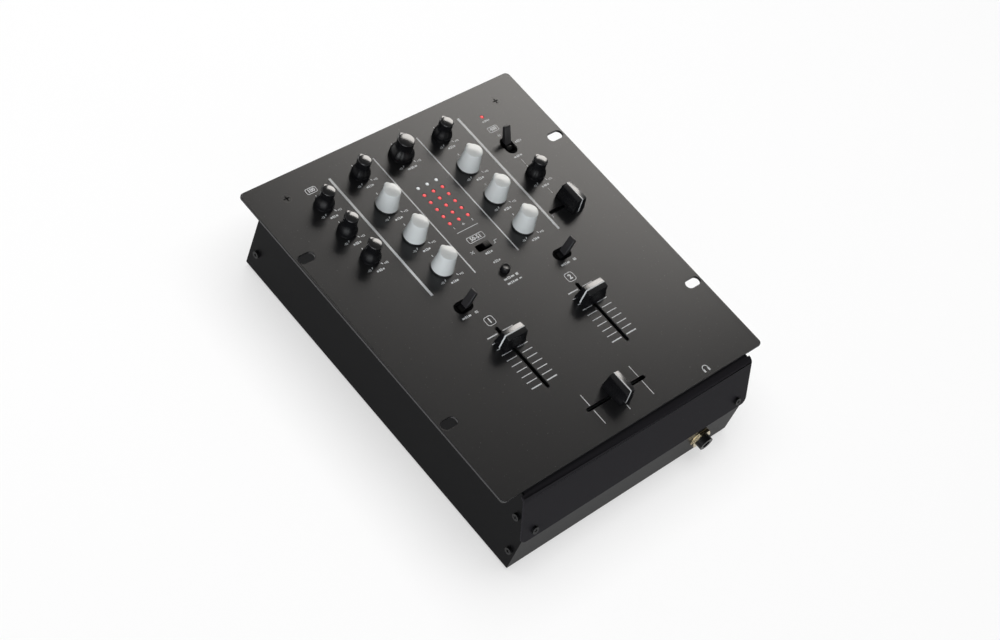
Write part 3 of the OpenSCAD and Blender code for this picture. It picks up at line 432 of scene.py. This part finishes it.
def cut_across(bm, place, normal):
    """Adds edges where a plane crosses a solid, so that its two sides can differ in material."""
    bmesh.ops.bisect_plane(bm, geom=bm.verts[:] + bm.edges[:] + bm.faces[:], dist=1e-7,
                           plane_co=place, plane_no=normal)


def absorb(bm, part):
    """Adds one bmesh to another and frees it."""
    mesh = bpy.data.meshes.new("part")
    part.to_mesh(mesh)
    part.free()
    bm.from_mesh(mesh)
    bpy.data.meshes.remove(mesh)


def round_edges(bm, radius_mm, segments=2, sharper_than=38, where=lambda middle: True):
    """Bevels the outward edges that are sharper than an angle and whose middle passes a test."""
    chosen = [e for e in bm.edges if len(e.link_faces) == 2 and e.is_convex
              and e.calc_face_angle(0) > math.radians(sharper_than)
              and where((e.verts[0].co + e.verts[1].co) / 2)]
    bmesh.ops.bevel(bm, geom=chosen, offset=radius_mm * MM, offset_type="OFFSET", affect="EDGES",
                    segments=segments, profile=0.5, material=-1, clamp_overlap=False,
                    loop_slide=True)
    return len(chosen)


def centre(node):
    """The middle of a node's box, in millimetres."""
    low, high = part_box(node)
    return [(low[i] + high[i]) / 2 / MM for i in range(3)]


print("rounding helpers ready")

# %% [markdown]
# ## The case
# The faceplate was cut from 2 mm sheet and tumbled before painting, so its outline and its slots
# have a soft edge of about a third of a millimetre. The front panel is bent and folded, and the
# case's edges are a little sharper. Holes that a control fills are left alone, because their
# rims are hidden.

# %% Faceplate
plate_low, plate_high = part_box("faceplate")
sheet_under = -0.003
ear_width, rim_width = 0.0165, 0.004


def on_plate_rim(middle):
    """True for edges of the plate's outline and of the four slots in its ears."""
    if middle.z < sheet_under:
        return False
    ear = abs(middle.x) > plate_high.x - ear_width
    return ear or abs(middle.y) > plate_high.y - rim_width


bm = merged_copy("faceplate")
count = round_edges(bm, 0.35, 3, where=on_plate_rim)
plate = show("plate", bm, "case", [plate_paint], ["faceplate"])
print("plate edges rounded", count, "faces", len(plate.data.polygons))

# %% Case, front and rear
side_wall, case_floor, front_fold = 0.109, -0.0745, -0.1445
bm = merged_copy("chassis")
count = round_edges(bm, 0.3, 2, where=lambda m: abs(m.x) > side_wall or m.z < case_floor)
show("case", bm, "case", [case_paint], ["chassis"])
bm = merged_copy("front_panel")
count += round_edges(bm, 0.35, 3, where=lambda m: m.y < front_fold)
show("front", bm, "case", [front_paint], ["front_panel"])
show("back", merged_copy("rear_panel"), "case", [case_paint], ["rear_panel"])
print("case edges rounded", count)

# %% Screws, feet and inner parts
plain_nodes = {
    "rubber_feet": rubber, "faceplate_screws": screw_black, "case_screws": black_steel,
    "potentiometer_bodies": zinc, "fader_bodies": zinc, "main_board": board_green,
    "jack_board": board_green, "red_leds": red_lens, "clear_leds": clear_lens,
    "phone_jacks": jack_plastic, "phono_sockets": bright_nickel, "ground_posts": bright_nickel,
    "dc_inlet": jack_plastic, "power_switch_housing": rocker_plastic,
    "phone_jack_nuts": nickel, "switch_bodies": switch_nylon}
plain_nodes.update({node: shaft_steel for node in nodes
                    if node.endswith("_shaft") or node.endswith("_carriage")})
for node, material in plain_nodes.items():
    nodes[node].data.materials.clear()
    nodes[node].data.materials.append(material)
print("finishes given to", len(plain_nodes), "plain nodes")

# %% [markdown]
# ## Knobs
# A knob is a turned shape. The black ones have a round belly and a narrow neck, and the pale
# ones are plain cones on a thin black skirt. All have a small rounded shoulder and a very
# shallow domed top, which mirrors the softbox at its far side only. The outline could be a curve
# with a screw modifier. Here it is a chain of vertices that the spin operator turns once round,
# which leaves clean quads. The pointer is a wedge: a box whose outer end is narrowed, with its
# nose bevelled round.

# %% Knob outline
# Sizes that all knobs share, in millimetres.
knob_gap = 0.5                       # from the plate to the foot
foot_round, skirt_top = 0.15, 0.3    # the foot's rounding and a skirt's upper face
cone_start, belly_start = 0.36, 2.0  # where the side begins, above the foot
belly_share = 0.64                   # how much of the side is belly, before the plain neck
shoulder, dome = 0.6, 0.45           # the rim's rounding and the rise of the top


def turned(bm, outline_mm, steps=72):
    """Spins an outline of (radius, height) points once round the Z axis."""
    verts = [bm.verts.new((r * MM, 0, z * MM)) for r, z in outline_mm]
    edges = [bm.edges.new(pair) for pair in zip(verts, verts[1:])]
    bmesh.ops.spin(bm, geom=verts + edges, cent=(0, 0, 0), axis=(0, 0, 1), dvec=(0, 0, 0),
                   angle=math.tau, steps=steps, use_merge=True, use_normal_flip=False,
                   use_duplicate=False)
    bmesh.ops.remove_doubles(bm, verts=bm.verts, dist=1e-6)


def arc(middle, radius, start, stop, count):
    """Points on an arc, angles in degrees from the outward direction."""
    turns = [math.radians(start + (stop - start) * i / count) for i in range(count + 1)]
    return [(middle[0] + radius * math.cos(a), middle[1] + radius * math.sin(a)) for a in turns]


def knob_outline(foot, top, height, skirt):
    """From the middle of the foot, over skirt or belly and neck, to the top's middle."""
    foot_edge = foot + skirt - foot_round
    under = [(0.05, knob_gap), (foot_edge, knob_gap)]
    under += arc((foot_edge, knob_gap + foot_round), foot_round, -60, 45, 4)
    start = knob_gap + (cone_start if skirt else belly_start)
    if skirt:
        under.append((foot + 0.02, knob_gap + skirt_top))
    rise = height - dome - shoulder - start
    steps = 12
    side = []
    for i in range(steps):
        t = i / steps
        share = 1 - t if skirt else (1 + math.cos(math.pi * min(1, t / belly_share))) / 2
        side.append((top + (foot - top) * share, start + rise * t))
    rim = arc((top - shoulder, height - dome - shoulder), shoulder, 4, 68, 6)
    crown_r, crown_z = rim[-1]
    crown = [(crown_r * (1 - t), height - (height - crown_z) * (1 - t) ** 2)
             for t in (0.1, 0.22, 0.36, 0.52, 0.68, 0.84, 1.0)]
    return under + side + rim + crown


print("outline points", len(knob_outline(7.2, 4.9, 16.8, 0)))

# %% Knob pointer
pointer_reach, pointer_width, pointer_round = 1.3, 2.4, 0.35


def pointer(bm, top, low, high):
    """The pointer: a box narrowed to its outer end, whose nose and upper edges are rounded."""
    inset = top - 0.3
    side, root, nose = inset * 0.94, inset * 0.31, top + pointer_reach
    box = Matrix.Translation((0, (root + nose) / 2 * MM, (low + high) / 2 * MM)) @ Matrix.Diagonal(
        (2 * side * MM, (nose - root) * MM, (high - low) * MM, 1))
    made = bmesh.ops.create_cube(bm, size=1, matrix=box)["verts"]
    outer = [v for v in made if v.co.y > (root + nose) / 2 * MM]
    bmesh.ops.scale(bm, verts=outer, vec=(pointer_width / 2 / side, 1, 1))
    edges = {e for v in made for e in v.link_edges}
    corner = [e for e in edges if all(v in outer for v in e.verts)
              and abs(e.verts[0].co.z - e.verts[1].co.z) > 1e-6]
    result = bmesh.ops.bevel(bm, geom=corner, offset=pointer_width * 0.42 * MM, affect="EDGES",
                             segments=5, profile=0.5, material=-1)
    tops = [e for e in {e for f in result["faces"] for e in f.edges} | edges if e.is_valid
            and all(abs(v.co.z - high * MM) < 1e-7 for v in e.verts)]
    bmesh.ops.bevel(bm, geom=tops, offset=pointer_round * MM, affect="EDGES", segments=3,
                    profile=0.5, material=-1)


print("pointer helper ready")

# %% Knobs
def knob(name, foot, top, height, materials, skirt=0.0):
    """A knob of given radii, standing where its CAD node stands, in two materials."""
    bm = bmesh.new()
    turned(bm, knob_outline(foot, top, height, skirt))
    bmesh.ops.recalc_face_normals(bm, faces=bm.faces)
    seam = knob_gap + 0.32 if skirt else height - 1.2
    for face in bm.faces:
        face.material_index = int(face.calc_center_median().z < seam * MM)
    pointer(bm, top, height * 0.5, height - 0.65)
    low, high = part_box(name + "_shaft")
    middle = Vector(((low.x + high.x) / 2, (low.y + high.y) / 2, 0))
    bmesh.ops.translate(bm, verts=bm.verts, vec=middle)
    return show(name + "_grip", bm, name, materials, [name + "_knob"], smooth_under=50)


def is_pale(name):
    """True for the channels' tone knobs, which are white cones."""
    return name.startswith("channel") and not name.endswith("gain")


rotary = [n[:-5] for n in nodes if n.endswith("_knob")]
for name in rotary:
    if is_pale(name):
        knob(name, 8.3, 6.4, 17.3, [white_knob, skirt_black], skirt=0.8)
    elif name == "master":
        knob(name, 9.3, 6.2, 17.2, [black_top, black_knob])
    else:
        knob(name, 7.2, 4.9, 16.8, [black_top, black_knob])

# %% [markdown]
# ## Fader caps
# A fader cap is a crowned block with a pale index line moulded right through it, so the line
# shows over the top and down both ends. The rounded copy is cut by two planes, half a line's
# width to each side of the middle, and the faces between them get the pale material. The line
# can't come loose from the surface this way, and it slides with the cap. The crown is polished,
# the sides are not.

# %% Fader caps
cap_skirt, half_line = 0.0012, 0.55 * MM


def fader_cap(name, along):
    """A cap whose travel runs along axis 0 or 1, with its index line across the travel."""
    bm = merged_copy(name + "_cap")
    round_edges(bm, 0.3, 3, sharper_than=24, where=lambda m: m.z > cap_skirt)
    middle = centre(name + "_cap")[along] * MM
    normal = Vector((1, 0, 0)) if along == 0 else Vector((0, 1, 0))
    for side in (-half_line, half_line):
        cut_across(bm, normal * (middle + side), normal)
    for face in bm.faces:
        inside = abs(face.calc_center_median()[along] - middle) < half_line
        crown = 0 if face.normal.z > 0.7 else 2
        face.material_index = 1 if inside and face.normal.z > -0.2 else crown
    return show(name + "_index_cap", bm, name, [cap_black, cap_white, cap_side],
                [name + "_cap"], smooth_under=30)


for name, along in (("channel_1_fader", 1), ("channel_2_fader", 1), ("crossfader", 0),
                    ("phones_mix", 0)):
    fader_cap(name, along)

# %% [markdown]
# ## Switches
# A toggle is a nylon paddle on a round hub that turns in a flush oval bezel. Its lever is one
# solid, so it is cut where the paddle leaves the hub, and each side gets its own plastic. The
# slide switch has a rounded nub, the push button and the power rocker only rounded edges.

# %% Toggles, slide switch, button and rocker
hub_top = 1.1 * MM
for name in ("channel_1_toggle", "channel_2_toggle", "cue_toggle"):
    bm = merged_copy(name + "_lever")
    round_edges(bm, 0.35, 3, where=lambda m: m.z > -0.001)
    cut_across(bm, (0, 0, hub_top), (0, 0, 1))
    for face in bm.faces:
        face.material_index = int(face.calc_center_median().z < hub_top)
    show(name + "_paddle", bm, name, [toggle_nylon, hub_black],
         [name + "_lever"])
for node, radius_mm, plastic in (("curve_switch", 0.2, hub_black),
                                 ("push_button", 0.15, button_plastic)):
    bm = merged_copy(node)
    round_edges(bm, radius_mm, 3, where=lambda m: m.z > -0.0005)
    show(node + "_rounded", bm, node, [plastic], [node])
bm = merged_copy("power_rocker")
round_edges(bm, 0.3, 3)
show("rocker", bm, "power_rocker", [rocker_plastic], ["power_rocker"])
print("switches rounded")

# %% [markdown]
# ## Silk-screen print
# The plate's lines, ticks and figures are silk-screened: a flat, slightly raised film of pale
# ink about three hundredths of a millimetre thick. A texture would need an image, so the print
# is thin geometry. Bars are flat boxes, rounded frames are a bevelled and inset face, arcs are a
# short edge spun part of the way round, and figures are text turned into a mesh. Controls have
# plain numbers for names. All pieces of print on a panel go into one object.

# %% Print helpers: bars, frames and arcs
ink_top, ink_sink = 0.035, 0.012  # how far the film stands out of the paint and reaches into it


def flat_place(x, y, height, turn):
    """A place on the panel, in millimetres, with a turn in degrees about its own upright."""
    return (Matrix.Translation((x * MM, y * MM, height))
            @ Matrix.Rotation(math.radians(turn), 4, "Z"))


def ink_bar(bm, x, y, width, height, turn=0.0):
    """A filled bar of given size in millimetres, turned about its middle, in degrees."""
    box = flat_place(x, y, (ink_top - ink_sink) / 2 * MM, turn) @ Matrix.Diagonal(
        (width * MM, height * MM, (ink_top + ink_sink) * MM, 1))
    bmesh.ops.create_cube(bm, size=1, matrix=box)


def ink_sheet(bm, sheet, x, y):
    """Thickens flat faces into a film of ink and adds them at a place on the panel."""
    bmesh.ops.recalc_face_normals(sheet, faces=sheet.faces)
    if sheet.faces[0].normal.z < 0:
        bmesh.ops.reverse_faces(sheet, faces=sheet.faces)
    bmesh.ops.solidify(sheet, geom=sheet.faces[:], thickness=-(ink_top + ink_sink) * MM)
    lowest = min(v.co.z for v in sheet.verts)
    bmesh.ops.transform(sheet, verts=sheet.verts,
                        matrix=flat_place(x, y, -lowest - ink_sink * MM, 0))
    absorb(bm, sheet)


def ink_frame(bm, x, y, width, height, line, radius):
    """An outlined box with rounded corners."""
    sheet = bmesh.new()
    bmesh.ops.create_grid(sheet, x_segments=1, y_segments=1, size=0.5,
                          matrix=Matrix.Diagonal((width * MM, height * MM, 1, 1)))
    bmesh.ops.bevel(sheet, geom=sheet.verts[:], offset=radius * MM, affect="VERTICES", segments=5,
                    profile=0.5, material=-1)
    inner = sheet.faces[:]
    bmesh.ops.inset_region(sheet, faces=inner, thickness=line * MM, use_boundary=True,
                           use_even_offset=True)
    bmesh.ops.delete(sheet, geom=inner, context="FACES_ONLY")
    ink_sheet(bm, sheet, x, y)


def ink_arc(bm, x, y, radius, line, start, stop):
    """Part of a ring, between two angles in degrees from +X."""
    sheet = bmesh.new()
    a = math.radians(start)
    ends = [sheet.verts.new((r * math.cos(a) * MM, r * math.sin(a) * MM, 0))
            for r in (radius - line / 2, radius + line / 2)]
    edge = sheet.edges.new(ends)
    bmesh.ops.spin(sheet, geom=ends + [edge], cent=(0, 0, 0), axis=(0, 0, 1), dvec=(0, 0, 0),
                   angle=math.radians(stop - start), steps=max(4, int(abs(stop - start) / 15)),
                   use_merge=False, use_normal_flip=False, use_duplicate=False)
    ink_sheet(bm, sheet, x, y)


print("film", ink_top + ink_sink, "mm")

# %% Print helpers: figures and labels
figure_share, figure_weight = 0.73, 0.06  # a figure's height per text size, and its added stroke


def ink_figures(bm, text, x, y, height):
    """Adds figures of a height in millimetres, centred on a point, and gives back their width."""
    curve = bpy.data.curves.new("figures", "FONT")
    curve.body, curve.size = text, height * MM / figure_share
    curve.align_x, curve.align_y = "CENTER", "CENTER"
    curve.resolution_u = 2
    curve.offset = height * figure_weight * MM
    curve.extrude = (ink_top + ink_sink) / 2 * MM
    holder = bpy.data.objects.new("figures", curve)
    mesh = bpy.data.meshes.new_from_object(holder)
    bpy.data.objects.remove(holder)
    bpy.data.curves.remove(curve)
    across = [v.co.x for v in mesh.vertices]
    part = bmesh.new()
    part.from_mesh(mesh)
    bpy.data.meshes.remove(mesh)
    bmesh.ops.remove_doubles(part, verts=part.verts, dist=1e-7)
    bmesh.ops.recalc_face_normals(part, faces=part.faces)
    bmesh.ops.transform(part, verts=part.verts,
                        matrix=flat_place(x, y, (ink_top - ink_sink) / 2 * MM, 0))
    absorb(bm, part)
    return (max(across) - min(across)) / MM


def ink_label(bm, text, x, y, width, height=2.0):
    """A control's number between two dashes that fill up a given width."""
    wing = (width - ink_figures(bm, text, x, y, height)) / 2 - 0.5
    if wing > 0.4:
        for side in (-1, 1):
            ink_bar(bm, x + side * (width - wing) / 2, y, wing, height * 0.66)


def ink_boxed(bm, text, x, y, width, height, figure):
    """Figures of a given height in a rounded frame."""
    ink_frame(bm, x, y, width, height, line=0.5, radius=min(width, height) * 0.28)
    ink_figures(bm, text, x, y, figure)


print("figure helpers ready")

# %% [markdown]
# ### Scales
# Each knob has a tick at twelve o'clock and one at each end of its turn, 150 degrees either way,
# with a small figure beside it and its number below. The faders have ten rows of ticks on both
# sides of the slot, the first and the last of them heavier.

# %% Knob scales
plate_print = bmesh.new()
columns = {name: centre(name + "_shaft") for name in rotary}
numbers = {"mic_gain": "01", "mic_treble": "02", "mic_bass": "03", "channel_1_gain": "11",
           "channel_1_treble": "12", "channel_1_mid": "13", "channel_1_bass": "14",
           "channel_2_gain": "21", "channel_2_treble": "22", "channel_2_mid": "23",
           "channel_2_bass": "24", "master": "30", "phones": "40"}
half_turn = 150
tick_width, tick_length = 0.65, 1.7


def knob_scale(name, radius, drop, label_width):
    """Ticks at a radius, a figure beside each end, and the knob's number below it."""
    x, y, _ = columns[name]
    ink_bar(plate_print, x, y + radius, tick_width, tick_length)
    for side, figure in ((-1, "-12"), (1, "+12")):
        turn = math.radians(half_turn)
        tick_x, tick_y = side * math.sin(turn) * radius, math.cos(turn) * radius
        ink_bar(plate_print, x + tick_x, y + tick_y, tick_width, tick_length, -side * half_turn)
        ink_figures(plate_print, figure, x + tick_x + side * 3.1, y + tick_y - 0.9, 1.6)
    ink_label(plate_print, numbers[name], x, y - drop, label_width)


for name in rotary:
    if is_pale(name):
        knob_scale(name, 11.3, 13.7, 6.6)
    elif name == "master":
        knob_scale(name, 10.8, 13.2, 8.4)
    else:
        knob_scale(name, 8.8, 11.7, 6.6)
print("scales", len(rotary), "faces", len(plate_print.faces))

# %% Lines, fader scales and boxes
# Places and sizes in millimetres from the plate's middle. The microphone's column is at -column_x
# and the headphones' at column_x.
column_x = 79.1
divider_y, divider_length = 66.8, 115.6
hair, fine, bold = 0.5, 0.6, 0.95
row_top, row_pitch, row_count = -38.6, 5.22, 10
for side, channel in ((-1, "1"), (1, "2")):
    ink_bar(plate_print, side * 61, divider_y, 2.0, divider_length)
    ink_bar(plate_print, side * 20.7, divider_y, 1.05, divider_length)
    middle = centre("channel_" + channel + "_fader_cap")[0]
    for row in range(row_count):
        line = bold if row in (0, row_count - 1) else fine
        for wing in (-1, 1):
            ink_bar(plate_print, middle + wing * 7.2, row_top - row * row_pitch, 9.4, line)
    ink_boxed(plate_print, channel, middle, -27.6, 7.8, 7.8, 4.0)
    for y, length in ((-111.7, 10.2), (-126.7, 12.6)):  # the crossfader's ends, broken at its slot
        ink_bar(plate_print, side * 23.7, y, fine, length)
ink_bar(plate_print, 0, -131.5, fine, 4.0)
ink_boxed(plate_print, "100", -column_x, 122.2, 9.2, 5.2, 3.0)
ink_boxed(plate_print, "400", column_x, 104.4, 9.2, 5.2, 3.0)
ink_boxed(plate_print, "50-51", 0, 32.8, 15.4, 5.4, 3.2)
ink_bar(plate_print, 0, 42, 20, hair)
for x, figure in ((-8.6, "1"), (0, "-0-"), (8.6, "2")):
    ink_figures(plate_print, figure, x, 46.6, 1.7)
for y in (69.5, 39.0):
    ink_bar(plate_print, column_x, y, 0.35, 5.0)
print("lines and boxes, faces", len(plate_print.faces))

# %% Switch marks and symbols
for x in (-47.5, 47.5):
    ink_label(plate_print, "01", x - 3.9, -17.2, 8.0)
    ink_figures(plate_print, "02", x + 5.2, -17.2, 1.9)
ink_label(plate_print, "60", column_x, 75.5, 7.5)
ink_figures(plate_print, "61", column_x, 97.4, 1.9)
ink_label(plate_print, "62", 88.8, 86.6, 6.0)
ink_label(plate_print, "ON", column_x, 112.9, 6.4, 1.8)
# The curve switch's two symbols: a cross for a long fade and a step for a sharp one.
for turn in (-38, 38):
    ink_bar(plate_print, -11.2, 23.4, 3.6, hair, turn)
for x, y, width, height in ((11.6, 24.6, 2.6, hair), (10.3, 23.5, hair, 2.6),
                            (9.4, 22.4, 1.6, hair)):
    ink_bar(plate_print, x, y, width, height)
ink_label(plate_print, "51", 0, 18.0, 6.5)
ink_label(plate_print, "52", 0, 9.4, 6.5)
for y, figure, tall in ((-6.2, "53", 2.0), (-10.3, "54", 1.1)):
    ink_label(plate_print, figure, -1.8, y, 9.5)
    ink_bar(plate_print, 5.6, y, 2.2, tall)
mix_y = centre("phones_mix_cap")[1]
for x, figure in ((-14.6, "1"), (14.6, "2")):
    ink_figures(plate_print, figure, column_x + x, mix_y - 3.4, 2.0)
# A pair of headphones over the jack: a headband and two ear pads.
band_x, band_y = 72.75, -136.6
ink_arc(plate_print, band_x, band_y, 2.4, fine, -20, 200)
for side in (-1, 1):
    ink_bar(plate_print, band_x + side * 2.2, -138.1, 1.5, 2.6)
bmesh.ops.recalc_face_normals(plate_print, faces=plate_print.faces)
printed = show("plate_print", plate_print, "case", [ink], flat_over_mm2=0)
print("plate print faces", len(printed.data.polygons))

# %% [markdown]
# ## Rear panel
# A phono socket has a plastic insulator between its sleeve and its contact, white in the upper
# row, for the left signals, and red in the lower row, for the right. Here each is a turned ring
# that sits in the groove of the sleeve. The print beside the sockets, the posts and the switch
# is only numbers.

# %% Socket insulators
socket_columns = [-48, -30, -6, 12, 36, 54]
bore, groove, ring_back, ring_face = 2.14, 3.51, -0.95, -0.12
ring_outline = [(bore, ring_back), (groove, ring_back), (groove, ring_face), (bore, ring_face),
                (bore, ring_back)]
sleeve_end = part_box("phono_sockets")[1].y
for row, z, material in (("upper", -30, white_collar), ("lower", -48, red_collar)):
    bm = bmesh.new()
    for x in socket_columns:
        ring = bmesh.new()
        turned(ring, ring_outline, 32)
        bmesh.ops.recalc_face_normals(ring, faces=ring.faces)
        bmesh.ops.transform(ring, verts=ring.verts, matrix=(
            Matrix.Translation((x * MM, sleeve_end, z * MM))
            @ Matrix.Rotation(math.radians(-90), 4, "X")))
        absorb(bm, ring)
    show(row + "_socket_rings", bm, "case", [material])
print("insulators", 2 * len(socket_columns))

# %% Rear print
# It is drawn flat, as seen from behind, and then stood up on the panel.
rear_print = bmesh.new()
rear_height = 2.4
rear_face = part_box("rear_panel")[1].y
for number, x in enumerate(socket_columns):
    ink_figures(rear_print, str(number % 2 + 1), -x, -21.0, rear_height)
for number, x in enumerate((-39, 3, 45)):
    ink_label(rear_print, str(10 * (number + 1)), -x, -57.5, 20.0, rear_height)
for text, x, y in (("0", 68, -48.5), ("1", 92, -24.5), ("0", 92, -53.5)):
    ink_figures(rear_print, text, x, y, rear_height)
standing = Matrix(((-1, 0, 0, 0), (0, 0, 1, rear_face), (0, 1, 0, 0), (0, 0, 0, 1)))
bmesh.ops.transform(rear_print, verts=rear_print.verts, matrix=standing)
bmesh.ops.recalc_face_normals(rear_print, faces=rear_print.faces)
show("rear_print", rear_print, "case", [ink], flat_over_mm2=0)
print("rear face at", round(rear_face / MM, 2), "mm")

# %% [markdown]
# ## Floor
# A sheet of white paper lies under the mixer. It keeps the soft shadow. A light of its own,
# which only the camera and mirror-like surfaces see, lifts it to clean white. Light linking
# gives the paper its own lamp and keeps the other two lamps off it.

# %% Floor
floor_half, own_light = 6.0, 0.58
bm = bmesh.new()
bmesh.ops.create_grid(bm, x_segments=2, y_segments=2, size=floor_half,
                      matrix=Matrix.Translation((0, 0, cad_box[0][2])))
mesh = bpy.data.meshes.new("paper_floor")
bm.to_mesh(mesh)
bm.free()
floor = bpy.data.objects.new("paper_floor", mesh)
bpy.context.scene.collection.objects.link(floor)
paper_white = finish("white paper", "#f2f2f2", "#f6f6f6", (0.9, 0.95), grain_mm=0.5, drift_mm=400,
                     bump_mm=0.004, specular=0.0)
mesh.materials.append(paper_white)
print("floor at", round(cad_box[0][2] / MM, 1), "mm")

# %% The paper's own light
tree = paper_white.node_tree
shader, end = tree.nodes["Principled BSDF"], tree.nodes["Material Output"]
ray = add(tree, "LightPath")
either = add(tree, "Math", operation="MAXIMUM")
share = add(tree, "Math", {1: own_light}, operation="MULTIPLY")
clean = add(tree, "Emission", {"Color": WHITE})
blend = add(tree, "MixShader")
wire(tree,
     (ray.outputs["Is Camera Ray"], either.inputs[0]),
     (ray.outputs["Is Glossy Ray"], either.inputs[1]),
     (either.outputs[0], share.inputs[0]),
     (share.outputs[0], blend.inputs[0]),
     (shader.outputs[0], blend.inputs[1]),
     (clean.outputs[0], blend.inputs[2]),
     (blend.outputs[0], end.inputs["Surface"]))
print("own light", own_light)

# %% Light linking
only_floor = bpy.data.collections.new("only_floor")
all_but_floor = bpy.data.collections.new("all_but_floor")
for group, state in ((only_floor, "INCLUDE"), (all_but_floor, "EXCLUDE")):
    group.objects.link(floor)
    group.collection_objects[0].light_linking.link_state = state
for lamp, group in ((table_lamp, only_floor), (softbox, all_but_floor), (fill, all_but_floor)):
    lamp.light_linking.receiver_collection = group
print("lamps linked", [table_lamp.name, softbox.name, fill.name])
